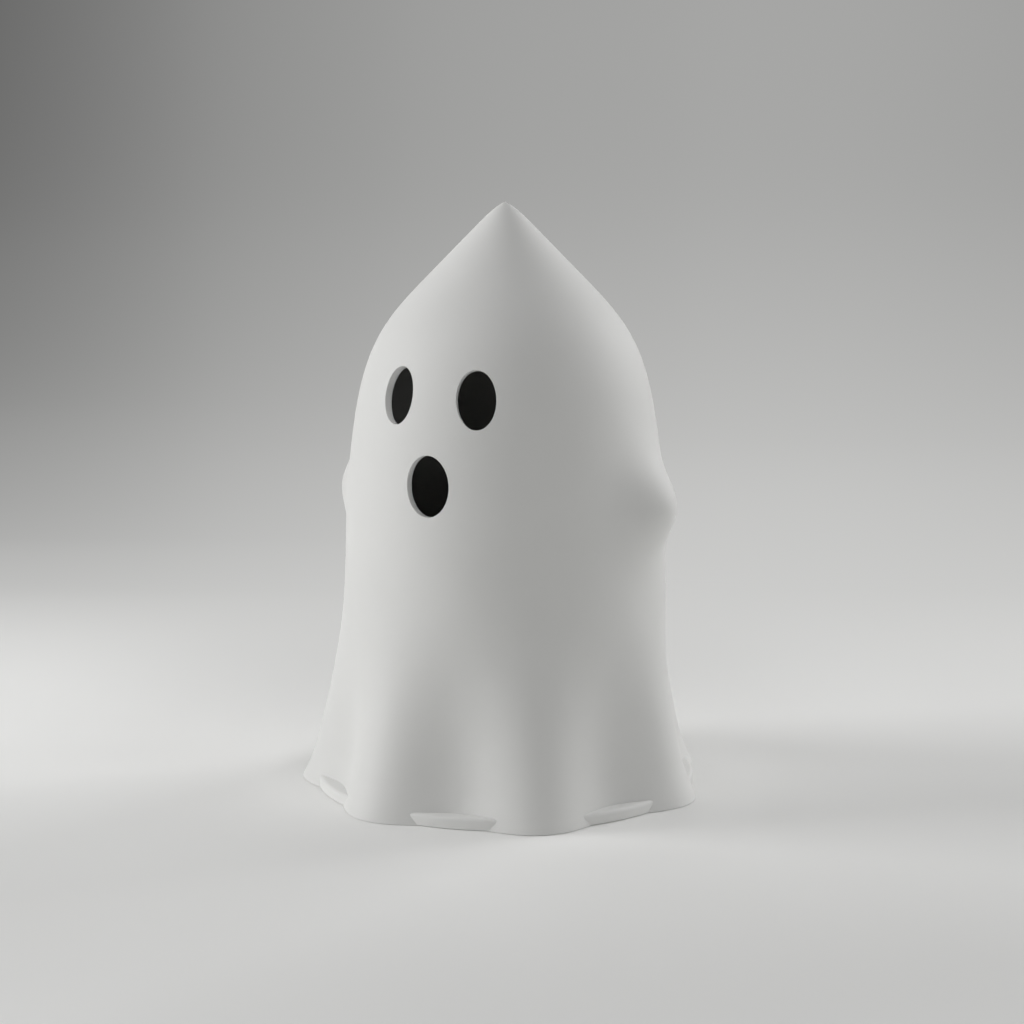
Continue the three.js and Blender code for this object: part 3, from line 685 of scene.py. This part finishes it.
def ghost_shell():
    azimuths = np.arange(COLUMNS) * 360 / COLUMNS - 180
    tip = [CONE_DEPTH * (i / TIP_ROWS) ** 2 for i in range(1, TIP_ROWS)]
    straight = int((HEIGHT - CONE_DEPTH - LIP_TOP) / ROW_PITCH)
    pitch = (HEIGHT - CONE_DEPTH - LIP_TOP) / straight
    heights = [HEIGHT - depth for depth in tip]
    heights += [HEIGHT - CONE_DEPTH - pitch * i for i in range(straight + 1)]
    points = []
    faces = []
    openings = (EYE_LEFT, EYE_RIGHT, MOUTH)

    def add(rows):
        first = len(points)
        points.extend(np.asarray(rows).reshape(-1, 3).tolist())
        return first

    def strip(ring, after):
        for i in range(len(ring)):
            j = (i + 1) % len(ring)
            faces.append([ring[i], ring[j], after[j], after[i]])

    def hem(depth):
        """Parameter z at which the cloth at that depth reaches the floor gap, at each azimuth."""
        z = np.full(COLUMNS, FLOOR_GAP, float)
        for _ in range(6):
            z = z + FLOOR_GAP - cloth(azimuths, z, depth)[:, 2]
        return z

    def skin(depth):
        """One surface of the cloth. Returns the rings of points round its hem and its openings."""
        rows = [z for z in heights if HEIGHT - z > 2 * depth]
        end = hem(depth)
        table = [np.full(COLUMNS, z) for z in rows]
        for i in range(1, LIP_ROWS + 1):
            share = i / LIP_ROWS
            table.append(LIP_TOP * (1 - share) + end * share)
        table = np.array(table)
        first = add(cloth(azimuths[None, :], table, depth))
        drop = depth / math.sin(math.atan(CONE_SLOPE))  # from the outer cone's point to this one's
        pole = add([[0, 0, HEIGHT - drop]])

        def at(row, column):
            return first + row * COLUMNS + column % COLUMNS

        patches = []
        for opening in openings:
            level = HEIGHT - opening["depth"]
            columns = np.nonzero(np.abs(azimuths - opening["azimuth"]) <= PATCH_SWEEP)[0]
            inside = [i for i, z in enumerate(rows) if abs(z - level) <= PATCH_RISE]
            patches.append((columns[0], columns[-1], inside[0], inside[-1]))
        for column in range(COLUMNS):
            faces.append([pole, at(0, column), at(0, column + 1)])
            for row in range(len(table) - 1):
                if any(c0 <= column < c1 and r0 <= row < r1 for c0, c1, r0, r1 in patches):
                    continue
                near = [at(row, column), at(row + 1, column)]
                faces.append(near + [at(row + 1, column + 1), at(row, column + 1)])

        rims = []
        for opening, (c0, c1, r0, r1) in zip(openings, patches):
            edge = [(r0, c) for c in range(c0, c1)]
            edge += [(r, c1) for r in range(r0, r1)]
            edge += [(r1, c) for c in range(c1, c0, -1)]
            edge += [(r, c0) for r in range(r1, r0, -1)]
            edge_azimuth = azimuths[[c for _, c in edge]]
            edge_z = table[[r for r, _ in edge], [c for _, c in edge]]
            across = (edge_azimuth - opening["azimuth"]) / PATCH_SWEEP
            rise = (edge_z - (HEIGHT - opening["depth"])) / PATCH_RISE
            lip = RIM_LIP if depth > 0 else 0
            rim_azimuth, rim_z = rim_parameters(opening, depth + lip, np.arctan2(rise, across))
            ring = [at(r, c) for r, c in edge]
            for share in (*PATCH_RINGS, 1):
                mixed_azimuth = edge_azimuth * (1 - share) + rim_azimuth * share
                mixed_z = edge_z * (1 - share) + rim_z * share
                start = add(cloth(mixed_azimuth, mixed_z, depth + lip * share**4))
                after = list(range(start, start + len(edge)))
                strip(ring, after)
                ring = after
            rims.append(ring)
        return [at(len(table) - 1, column) for column in range(COLUMNS)], rims

    outer_hem, outer_rims = skin(0)
    inner_start = len(faces)
    inner_hem, inner_rims = skin(WALL)
    inner_faces = range(inner_start, len(faces))

    wall_start = len(faces)
    for outer, inner in zip(outer_rims, inner_rims):
        start = np.array([points[i] for i in outer])
        end = np.array([points[i] for i in inner])
        ring = outer
        for step in range(1, WALL_RINGS):
            first = add(start + (end - start) * step / WALL_RINGS)
            after = list(range(first, first + len(outer)))
            strip(ring, after)
            ring = after
        strip(ring, inner)

    wall_faces = range(wall_start, len(faces))
    strip(outer_hem, inner_hem)
    rims = [(ring, OUTER_SHARE) for ring in outer_rims] + [(ring, 1) for ring in inner_rims]
    return new_object("figure", points, faces, (inner_faces, wall_faces), rims)


def plate_rim(radius, top):
    """The rounding of the base plate's upper rim, which the cloth follows."""
    corners = [(0, ROOM_BOTTOM), (radius, ROOM_BOTTOM), (radius, top), (0, top)]
    return rounded(corners, PLATE_ROUND, 6, first=2, last=3)


def seated_figure():
    """The shell with its rims rounded, cut to sit on the base plate and to clear its rim."""
    piece = ghost_shell()
    bevel(piece, RIM_ROUND, 4, "WEIGHT")
    top = PLATE_TOP + CLOSE
    room = [(0, ROOM_BOTTOM), (CUT_R, ROOM_BOTTOM), *plate_rim(CUT_R, top), (0, top)]
    boolean(piece, lathe("seat_room", room, ROOM_SIDES))
    return crease(piece)


figure = seated_figure()
place(figure, "ghost", "ghost_shell", "ghost_white", GHOST_OUTSIDE, GHOST_INSIDE_PAINTED_SHADE, GHOST_EDGE_PAINTED_LIGHT)


# Base


def seat_arc(side):
    """Half of the ring that the tea light stands in, between the two gaps for finger and thumb."""
    inner = CUP_R + FIT
    outer = inner + SEAT_WALL
    corners = [
        (inner, PLATE_TOP - SINK),
        (outer, PLATE_TOP - SINK),
        (outer, PLATE_TOP + SEAT_HEIGHT),
        (inner, PLATE_TOP + SEAT_HEIGHT),
    ]
    sections = []
    for share in np.linspace(0, 1, 61):
        section = []
        for radius, z in corners:
            end = math.asin(GRIP_WIDTH / 2 / radius)
            angle = end + share * (math.pi - 2 * end)
            section.append((side * radius * math.cos(angle), side * radius * math.sin(angle), z))
        sections.append(section)
    return round_edges(swept("seat", sections), BLOCK_ROUND)


def locating_tab(k):
    """An upright tab in a valley of the cloth."""
    ends = np.append(FOLDS, FOLDS[0] + 360)
    valley = (ends[k] + ends[k + 1]) / 2
    high = PLATE_TOP + TAB_HEIGHT
    walls = [float(np.hypot(*cloth(valley, z, WALL)[:2])) for z in (PLATE_TOP, high)]
    foot, head = (wall - 2 * FIT for wall in walls)
    corners = [
        (head - TAB_THICK, PLATE_TOP - SINK),
        (foot, PLATE_TOP - SINK),
        (foot, PLATE_TOP),
        (head, high),
        (head - TAB_THICK, high),
    ]
    sections = []
    for angle in np.radians(valley + TAB_SWEEP * np.linspace(-0.5, 0.5, 13)):
        sections.append([(r * math.sin(angle), -r * math.cos(angle), z) for r, z in corners])
    return round_edges(swept("tab", sections), BLOCK_ROUND)


def foot_centres():
    reach = PLATE_R - FOOT_INSET
    for k, name in enumerate(FEET):
        angle = math.pi / 2 * (k + 0.5)
        yield name, (reach * math.cos(angle), reach * math.sin(angle))


def base_plate():
    inner = CUP_R - CUP_BEARING
    section = [(inner, FLOOR_GAP), (PLATE_R, FLOOR_GAP), (PLATE_R, PLATE_TOP), (inner, PLATE_TOP)]
    under = rounded(section, PLATE_EDGE, last=2)
    hole = rounded(section, PLATE_EDGE, first=3)
    plate = lathe("plate", under + plate_rim(PLATE_R, PLATE_TOP) + hole, PLATE_SIDES)
    recesses = []
    for _, centre in foot_centres():
        deep = FOOT_THICK + FIT / 2
        recesses.append(cylinder("recess", FOOT_R + FIT, -OVER, deep, SMALL_SIDES, centre))
    boolean(plate, *recesses)
    tabs = [locating_tab(k) for k in TAB_VALLEYS]
    return join("base", plate, seat_arc(1), seat_arc(-1), *tabs)


base = crease(base_plate())
place(base, "base", "base_plate", "ghost_white", BASE_PLASTIC_PAINTED_LIGHT)


def rubber_foot(name, centre):
    """A puck with rounded edges and a shallow dish underneath."""
    corners = [(0, 0), (FOOT_R, 0), (FOOT_R, FOOT_THICK), (0, FOOT_THICK)]
    outside = rounded(corners, FOOT_ROUND, first=1, last=3)
    return lathe(name, [*FOOT_DISH, *outside, corners[3]], SMALL_SIDES, centre)


for name, centre in foot_centres():
    foot = crease(rubber_foot(name + "_rubber", centre))
    place(foot, "base", name, "foot_rubber", RUBBER)


# Tea light: its own heights count from its underside, PLATE_TOP above the floor


def lifted(profile):
    return [(r, z + PLATE_TOP) for r, z in profile]


def candle_cup():
    inner = CUP_R - CUP_WALL
    half = CUP_WALL / 2
    rim = arc((CUP_R - half, CUP_HEIGHT - half), half, 0, math.pi, 13)
    corners = [(inner, 0), (CUP_R, 0), (CUP_R, CUP_HEIGHT), (inner, CUP_HEIGHT)]
    foot = rounded(corners, CUP_WALL / 4, last=2)
    ledge = [
        (inner, LEDGE_Z),
        (inner - LEDGE, LEDGE_Z),
        (inner - LEDGE, LEDGE_Z - LEDGE_THICK),
        (inner, LEDGE_Z - LEDGE_THICK - LEDGE),
    ]
    return lathe("cup", lifted(foot + rim + ledge), CUP_SIDES)


def candle_top():
    """A dished wax surface with a neck round the lamp."""
    outer = CUP_R - CUP_WALL - FIT
    pool = TOP_Z + TOP_THICK
    brim = pool + NECK_HEIGHT
    hole = LED_R + FIT
    dish = []
    for share in np.linspace(1, 0, 17):
        dish.append((POOL_R + (outer - POOL_R) * share, pool + POOL_RISE * share**2))
    edge = rounded([(outer, TOP_Z), dish[0], dish[1]], WAX_ROUND, first=1, last=2)
    fillet = []
    for angle in np.linspace(0, np.pi / 2, 6):
        aside, up = 1 - math.sin(angle), 1 - math.cos(angle)
        fillet.append((NECK_R + NECK_FILLET * aside, pool + NECK_FILLET * up))
    corners = [(NECK_R, pool), (NECK_R, brim), (hole, brim), (hole, TOP_Z)]
    neck = rounded(corners, WAX_ROUND, first=1, last=3)
    profile = [(hole, TOP_Z), (outer, TOP_Z), *edge, *dish[1:], *fillet, *neck]
    return lathe("wax", lifted(profile), CUP_SIDES)


def smooth_curve(points, steps):
    """A centripetal Catmull-Rom curve through the points."""
    points = np.array(points, float)
    padded = np.vstack([2 * points[0] - points[1], points, 2 * points[-1] - points[-2]])
    result = []
    for i in range(len(points) - 1):
        p0, p1, p2, p3 = padded[i : i + 4]
        d0, d1, d2 = (math.sqrt(np.linalg.norm(b - a)) for a, b in ((p0, p1), (p1, p2), (p2, p3)))
        m1 = ((p1 - p0) / d0 - (p2 - p0) / (d0 + d1) + (p2 - p1) / d1) * d1
        m2 = ((p2 - p1) / d1 - (p3 - p1) / (d1 + d2) + (p3 - p2) / d2) * d1
        for t in np.linspace(0, 1, steps, endpoint=False):
            a = 2 * t**3 - 3 * t**2 + 1
            b = t**3 - 2 * t**2 + t
            result.append(a * p1 + b * m1 + (1 - a) * p2 + (t**3 - t**2) * m2)
    result.append(points[-1])
    return [tuple(point) for point in result]


def flame():
    """A narrow foot, a round belly and a long point, hollow over the lamp."""
    bottom = TOP_Z + TOP_THICK + SEAT
    hollow = NECK_R + FIT
    knots = [(hollow + FLAME_WALL, bottom)]
    knots += [(FLAME_R * r, bottom + FLAME_HEIGHT * z) for r, z in FLAME_OUTLINE]
    outside = [(min(r, FLAME_R), z) for r, z in smooth_curve(knots, 14)]
    outside[-1] = (0, outside[-1][1])
    inside = [(min(hollow, r - FLAME_WALL), z) for r, z in outside if r > 2 * FLAME_WALL][::-1]
    return lathe("flame", lifted([(0, inside[0][1])] + inside + outside), FLAME_SIDES)


def lamp():
    bottom = LEDGE_Z - LED_FLANGE
    shoulder = bottom + LED_LENGTH - LED_R
    rim = LED_R + LED_RIM
    corners = [(0, bottom), (rim, bottom), (rim, LEDGE_Z), (LED_R, LEDGE_Z)]
    flange = rounded(corners, LED_ROUND, first=1, last=3)
    dome = arc((0, shoulder), LED_R, 0, math.pi / 2, 17)
    dome[-1] = (0, dome[-1][1])
    return lathe("lamp", lifted([corners[0], *flange, corners[3], *dome]), SMALL_SIDES)


def cell():
    """A coin cell: the can, a gasket ring and the smaller face on top."""
    bottom = FLOOR + SEAT
    top = bottom + CELL_THICK
    shoulder = top - CELL_STEP
    sunk = shoulder - GASKET_DEPTH
    face = CELL_R - CELL_RIM
    brink = face + GASKET_WIDTH
    corners = [(0, bottom), (CELL_R, bottom), (CELL_R, shoulder), (brink, shoulder)]
    can = rounded(corners, CELL_ROUND, first=1)[:-1]
    cap = rounded([(face, shoulder), (face - CAP_TAPER, top), (0, top)], CAP_ROUND, last=2)
    cap = [point for point in cap if point[1] > shoulder + 0.02]  # not those level with the can
    profile = [(0, bottom), *can, (brink, sunk), (face, sunk), *cap, (0, top)]
    piece = lathe("cell", lifted(profile), CELL_SIDES, CELL_CENTRE)
    for polygon in piece.data.polygons:
        level = polygon.center.z / MM - PLATE_TOP
        if abs(level - sunk) < 0.03:
            polygon.material_index = 1
    return piece


def door_outline(spare, end):
    """Round under the cell and straight at the hinge, drawn in by spare."""
    radius = WELL_R + DOOR_LIP - spare
    half = HINGE_WIDTH / 2 - spare
    start = math.pi / 2 - math.asin(half / radius)
    outline = arc(CELL_CENTRE, radius, start, start - 2 * (start + math.pi / 2), 97)
    return outline + [(-half, end), (half, end)]


def candle_base():
    """The compartment: a floor with a skirt, the cell's well, the door's and the switch's openings."""
    z = PLATE_TOP
    corners = [
        (0, 0),
        (COMPARTMENT_R, 0),
        (COMPARTMENT_R, SKIRT_HEIGHT),
        (COMPARTMENT_R - SKIRT_WALL, SKIRT_HEIGHT),
        (COMPARTMENT_R - SKIRT_WALL, FLOOR),
        (0, FLOOR),
    ]
    section = [corners[0], *rounded(corners, SKIRT_ROUND, first=1, last=-1), corners[-1]]
    body = lathe("compartment", lifted(section), CUP_SIDES)
    well = cylinder("well", WELL_R + WELL_WALL, z + WELL_FOOT, z + LID_Z, CELL_SIDES, CELL_CENTRE)
    boolean(body, well, operation="UNION")
    clear = KNUCKLE_R + FIT
    pin_end = KNUCKLE_LENGTH / 2 + FIT + PIN_GRIP + FIT
    half = STRIP_WIDTH / 2 + FIT
    front = CELL_Y + WELL_R - WELL_WALL
    cell_bottom = z + FLOOR + SEAT
    cell_top = cell_bottom + CELL_THICK
    cutters = [
        prism("door_hole", door_outline(0, HINGE_Y + clear), z - OVER, z + FLOOR + TINY),
        cylinder("cell_hole", WELL_R, z - OVER, z + CEILING_Z, CELL_SIDES, CELL_CENTRE),
        block(
            "slot",
            (-SLOT_X, SWITCH_Y - SLOT_Y, z - OVER),
            (SLOT_X, SWITCH_Y + SLOT_Y, z + 2 * FLOOR),
        ),
        rod("knuckle_room", clear, -HINGE_WIDTH / 2, HINGE_WIDTH / 2, HINGE_Y, z + HINGE_Z),
        rod("pin_hole", PIN_R + PIN_PLAY, -pin_end, pin_end, HINGE_Y, z + HINGE_Z),
        block(
            "positive_slot",
            (POSITIVE_X - STRIP - FIT, CELL_Y - half, cell_bottom),
            (POSITIVE_X + FIT, CELL_Y + half, z + LID_Z + OVER),
        ),
        block(
            "negative_slot",
            (NEGATIVE_X - half, front, cell_top),
            (NEGATIVE_X + half, front + 3 * WELL_WALL, z + CEILING_Z),
        ),
    ]
    return boolean(body, *cutters)


def battery_door():
    """A thin panel with a knuckle at one end and a fingernail notch at the other."""
    z = PLATE_TOP
    top = z + FLOOR - SEAT
    bottom = top - DOOR_THICK
    half = KNUCKLE_LENGTH / 2
    clear = KNUCKLE_R + FIT
    axis = z + HINGE_Z
    notch_y = CELL_Y - (WELL_R + DOOR_LIP - FIT)
    low = z - 2 * OVER
    panel = prism("door", door_outline(FIT, HINGE_Y - KNUCKLE_R / 2), bottom, top)
    sides = [
        block("beside", (left, HINGE_Y - clear, low), (right, HINGE_Y + clear, z + 4 * OVER))
        for left, right in ((-HINGE_WIDTH, -half), (half, HINGE_WIDTH))
    ]
    notch = block(
        "notch",
        (-NAIL_WIDTH / 2, notch_y - NAIL_DEPTH, low),
        (NAIL_WIDTH / 2, notch_y + NAIL_DEPTH, bottom + DOOR_THICK / 2),
    )
    boolean(panel, *sides, notch)
    boolean(panel, rod("knuckle", KNUCKLE_R, -half, half, HINGE_Y, axis), operation="UNION")
    return boolean(panel, rod("bore", PIN_R + PIN_PLAY, -HINGE_WIDTH, HINGE_WIDTH, HINGE_Y, axis))


for piece, node, slot, materials in (
    (candle_cup(), "candle_cup", "wax_plastic", [WAX]),
    (candle_top(), "candle_top", "wax_plastic", [WAX]),
    (flame(), "flame_lens", "flame_plastic", [FLAME]),
    (lamp(), "led_lamp", "lamp_epoxy", [EPOXY]),
    (cell(), "coin_cell", "steel", [STEEL, GASKET]),
):
    place(crease(piece), "candle", node, slot, *materials)

place(crease(candle_base()), "candle", "candle_base", "wax_plastic", WAX)
place(round_edges(battery_door(), DOOR_ROUND, 2), "door", "battery_door", "wax_plastic", WAX)


def keep(node, material, width):
    """A CAD node that is shown as it is, with rounded edges and its material."""
    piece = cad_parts[node]
    piece.data.materials.clear()
    piece.data.materials.append(material)
    piece.modifiers.new("weld", "WELD").merge_threshold = TINY * MM
    bevel(piece, width, 2)


keep("switch_knob", KNOB_BLACK, 0.12)
keep("led_anode_lead", STEEL, 0.08)
keep("led_cathode_lead", STEEL, 0.08)
keep("door_hinge_pin", STEEL, 0.08)
for node in ("contact_positive", "contact_negative", "contact_lamp", "switch_wiper"):
    keep(node, BRASS, 0.06)


# Camera, stage and light

CAMERA_AZIMUTH = 27.17
CAMERA_DISTANCE = 615.2
CAMERA_HEIGHT = 175.4
CAMERA_PITCH = 9.68
CAMERA_ASIDE = 1.75
LENS = 85
SENSOR = 36


def make_camera():
    data = bpy.data.cameras.new("camera")
    data.lens = LENS
    data.sensor_width = SENSOR
    data.clip_start = 0.02
    camera = bpy.data.objects.new("camera", data)
    bpy.context.scene.collection.objects.link(camera)
    turn = math.radians(CAMERA_AZIMUTH)
    away = Vector((math.sin(turn), -math.cos(turn), 0))
    right = Vector((math.cos(turn), math.sin(turn), 0))
    spot = away * CAMERA_DISTANCE + right * CAMERA_ASIDE + Vector((0, 0, CAMERA_HEIGHT))
    camera.location = spot * MM
    camera.rotation_euler = (math.radians(90 - CAMERA_PITCH), 0, turn)
    bpy.context.scene.camera = camera


make_camera()


# Lights, in metres: all are squares at one distance from a point inside the object
LIGHT_SIDE = 0.55
LIGHT_DISTANCE = 1.3
LIGHT_AIM = 0.07

# Brightness of the wash behind the object, from low to high on its left, its right and all round.
# SIDE_WASH is the right one's share, from left to right.
LEFT_WASH = ((0.0, 0.69), (0.17, 0.56), (0.26, 0.425), (0.45, 0.278), (0.7, 0.184), (1.0, 0.143))
RIGHT_WASH = ((0.0, 0.6), (0.2, 0.595), (0.4, 0.515), (0.7, 0.41), (1.0, 0.38))
PLAIN_WASH = ((0.0, 0.66), (0.3, 0.56), (0.6, 0.44), (1.0, 0.36))
SIDE_WASH = ((0.0, 0.0), (0.2, 0.435), (0.4, 0.79), (0.65, 0.96), (0.8, 1.0), (1.0, 0.9))

# From the slope at which a point is seen to its place in the wash: a factor, and the place at 0
WASH_UP = (3.333, 0.8667)
WASH_ACROSS = (2.3, 0.5)


def softbox(name, azimuth, elevation, power):
    """A square area light, its azimuth counted from the camera's."""
    data = bpy.data.lights.new(name, "AREA")
    data.size = LIGHT_SIDE
    data.energy = power
    light = bpy.data.objects.new(name, data)
    bpy.context.scene.collection.objects.link(light)
    turn = math.radians(CAMERA_AZIMUTH + azimuth)
    rise = math.radians(elevation)
    out = Vector((math.sin(turn) * math.cos(rise), -math.cos(turn) * math.cos(rise), math.sin(rise)))
    light.location = Vector((0, 0, LIGHT_AIM)) + out * LIGHT_DISTANCE
    light.rotation_euler = (-out).to_track_quat("-Z", "Y").to_euler()


# Azimuth and elevation in degrees, power in watts: a broad key from the left, a softer one from
# behind on the right, and weak ones that open up the shadows.
for name, azimuth, elevation, power in (
    ("key_high", -92, 24, 4.77),
    ("key_low", -92, 8, 4.36),
    ("key_front", -74, 8, 1.15),
    ("rear_left", -145, 30, 1.17),
    ("rim_high", 126, 26, 6.04),
    ("rim_side", 105, 20, 1.07),
    ("rim_low", 108, 8, 1.59),
    ("behind", 180, 20, 1.72),
    ("above", 0, 87, 4.6),
    ("front", 20, 10, 2.33),
):
    softbox(name, azimuth, elevation, power)


def smooth_step(material, field, low, high):
    """Rises smoothly from 0 where the field is low to 1 where it is high."""
    nodes, links = tree(material)
    node = nodes.new("ShaderNodeMapRange")
    node.interpolation_type = "SMOOTHSTEP"
    node.inputs["From Min"].default_value = low
    node.inputs["From Max"].default_value = high
    links.new(field, node.inputs["Value"])
    return node.outputs["Result"]


def overlap(material, *steps):
    """The product of smooth steps, each given as its field, low and high."""
    product = smooth_step(material, *steps[0])
    for step in steps[1:]:
        product = math_node(material, "MULTIPLY", product, smooth_step(material, *step))
    return product


def tone_ramp(material, field, stops):
    """A soft ramp of grey over the field, whose stops are (position, brightness)."""
    nodes, links = tree(material)
    node = nodes.new("ShaderNodeValToRGB")
    node.color_ramp.interpolation = "CARDINAL"
    elements = node.color_ramp.elements
    for k, (position, tone) in enumerate(stops):
        element = elements[k] if k < 2 else elements.new(position)
        element.position = position
        element.color = (tone, tone, 0.985 * tone, 1)
    links.new(field, node.inputs["Fac"])
    return node.outputs["Color"]


def wash_height(material, reach, up):
    """How high a point is seen from in front of the object: 0 low on the floor, 1 high on the wall."""
    above = math_node(material, "SUBTRACT", up, CAMERA_HEIGHT * MM)
    rise = math_node(material, "DIVIDE", above, reach)
    return math_node(material, "MULTIPLY_ADD", rise, *WASH_UP)


def mixed_colour(material, share, first, second):
    nodes, links = tree(material)
    blend = nodes.new("ShaderNodeMix")
    blend.data_type = "RGBA"
    links.new(share, blend.inputs["Factor"])
    links.new(first, blend.inputs["A"])
    links.new(second, blend.inputs["B"])
    return blend.outputs["Result"]


def floor_tone_and_painted_light(material, right, back, radius):
    """The floor's pale tone, with painted light and shade round the object, with distances in metres.
    """
    tone = math_node(material, "MULTIPLY_ADD", noise(material, 3, 2), 0.01, 0.915)
    for change, steps in (
        # painted shade from left to right, and painted light at the left
        (-0.08, [(right, -0.15, 0.15)]),
        (0.05, [(right, -0.05, -0.12)]),
        # painted shade towards the front, and painted light close before the object, over its contact
        # shadow
        (-0.055, [(back, -0.07, -0.16)]),
        (0.03, [(radius, 0.08, 0.055), (back, 0.01, -0.03)]),
        # painted light behind, and painted shade close behind the object and far off
        (0.04, [(back, -0.03, 0.01)]),
        (-0.11, [(back, -0.03, 0.03), (right, 0.12, 0.03), (right, -0.16, -0.09)]),
        (-0.02, [(back, 0.05, 0.15)]),
    ):
        tone = math_node(material, "MULTIPLY_ADD", overlap(material, *steps), change, tone)
    return tone_ramp(material, tone, ((0.0, 0.0), (1.0, 1.0)))


def wash_colour(material, right, back, up, radius):
    """Behind the object a wash that darkens upwards, most at the left, and a plain one elsewhere."""
    reach = math_node(material, "ADD", back, CAMERA_DISTANCE * MM)
    across = math_node(material, "DIVIDE", right, reach)
    height = wash_height(material, reach, up)
    side = math_node(material, "MULTIPLY_ADD", across, *WASH_ACROSS)
    side = tone_ramp(material, side, SIDE_WASH)
    left_wash = tone_ramp(material, height, LEFT_WASH)
    right_wash = tone_ramp(material, height, RIGHT_WASH)
    behind = mixed_colour(material, side, left_wash, right_wash)

    reach = math_node(material, "ADD", radius, CAMERA_DISTANCE * MM)
    plain = tone_ramp(material, wash_height(material, reach, up), PLAIN_WASH)
    width = math_node(material, "ABSOLUTE", across)
    within = overlap(material, (width, 0.42, 0.24), (back, -0.12, 0.06))
    return mixed_colour(material, within, plain, behind)


def wash_share(material, right, back, radius):
    """How much of the wash is seen: none near the object, but for a faint patch on its left."""
    behind = smooth_step(material, back, 0.06, 0.26)
    share = math_node(material, "MAXIMUM", behind, smooth_step(material, radius, 0.16, 0.32))
    near = smooth_step(material, back, -0.14, -0.07)
    far = smooth_step(material, back, -0.045, 0.01)
    beside = smooth_step(material, right, 0.02, -0.1)
    patch = math_node(material, "MULTIPLY", math_node(material, "SUBTRACT", near, far), beside)
    return math_node(material, "MULTIPLY_ADD", patch, 0.36, share)


def sweep_material():
    """A pale floor, which fades into a soft wash of light further off and behind the object."""
    material = surface("backdrop", 0.9, specular=0.1)
    nodes, links = tree(material)
    shader = nodes["Principled BSDF"]
    where = nodes.new("ShaderNodeTexCoord")
    turned = nodes.new("ShaderNodeMapping")
    turned.inputs["Rotation"].default_value = (0, 0, -math.radians(CAMERA_AZIMUTH))
    links.new(where.outputs["Object"], turned.inputs["Vector"])
    axes = nodes.new("ShaderNodeSeparateXYZ")
    links.new(turned.outputs["Vector"], axes.inputs["Vector"])
    right, back, up = (axes.outputs[name] for name in "XYZ")
    square = math_node(material, "MULTIPLY", right, right)
    square = math_node(material, "MULTIPLY_ADD", back, back, square)
    radius = math_node(material, "SQRT", square)
    links.new(floor_tone_and_painted_light(material, right, back, radius), shader.inputs["Base Color"])

    # The wash is only seen, and lights nothing
    path = nodes.new("ShaderNodeLightPath")
    seen = math_node(material, "MAXIMUM", path.outputs["Is Camera Ray"], path.outputs["Is Glossy Ray"])
    seen = math_node(material, "MAXIMUM", seen, path.outputs["Is Transmission Ray"])
    share = math_node(material, "MULTIPLY", seen, wash_share(material, right, back, radius))

    glow = nodes.new("ShaderNodeEmission")
    links.new(wash_colour(material, right, back, up, radius), glow.inputs["Color"])
    mixed = nodes.new("ShaderNodeMixShader")
    links.new(share, mixed.inputs["Fac"])
    links.new(shader.outputs["BSDF"], mixed.inputs[1])
    links.new(glow.outputs["Emission"], mixed.inputs[2])
    links.new(mixed.outputs["Shader"], nodes["Material Output"].inputs["Surface"])
    return material


def backdrop():
    """A floor that curves up into a low round wall far behind the object."""
    flat, wall, height = 1500, 2600, 500
    profile = [(0, 0), (flat, 0)]
    for angle in np.linspace(0, np.pi / 2, 25)[1:]:
        profile.append((flat + (wall - flat) * math.sin(angle), height * (1 - math.cos(angle))))
    piece = lathe("backdrop", profile, BACKDROP_SIDES)
    piece.data.materials.append(sweep_material())


backdrop()

world = bpy.data.worlds.new("world")
bpy.context.scene.world = world
world.use_nodes = True
world.node_tree.nodes["Background"].inputs["Strength"].default_value = 0

bpy.context.scene.view_settings.view_transform = "Standard"
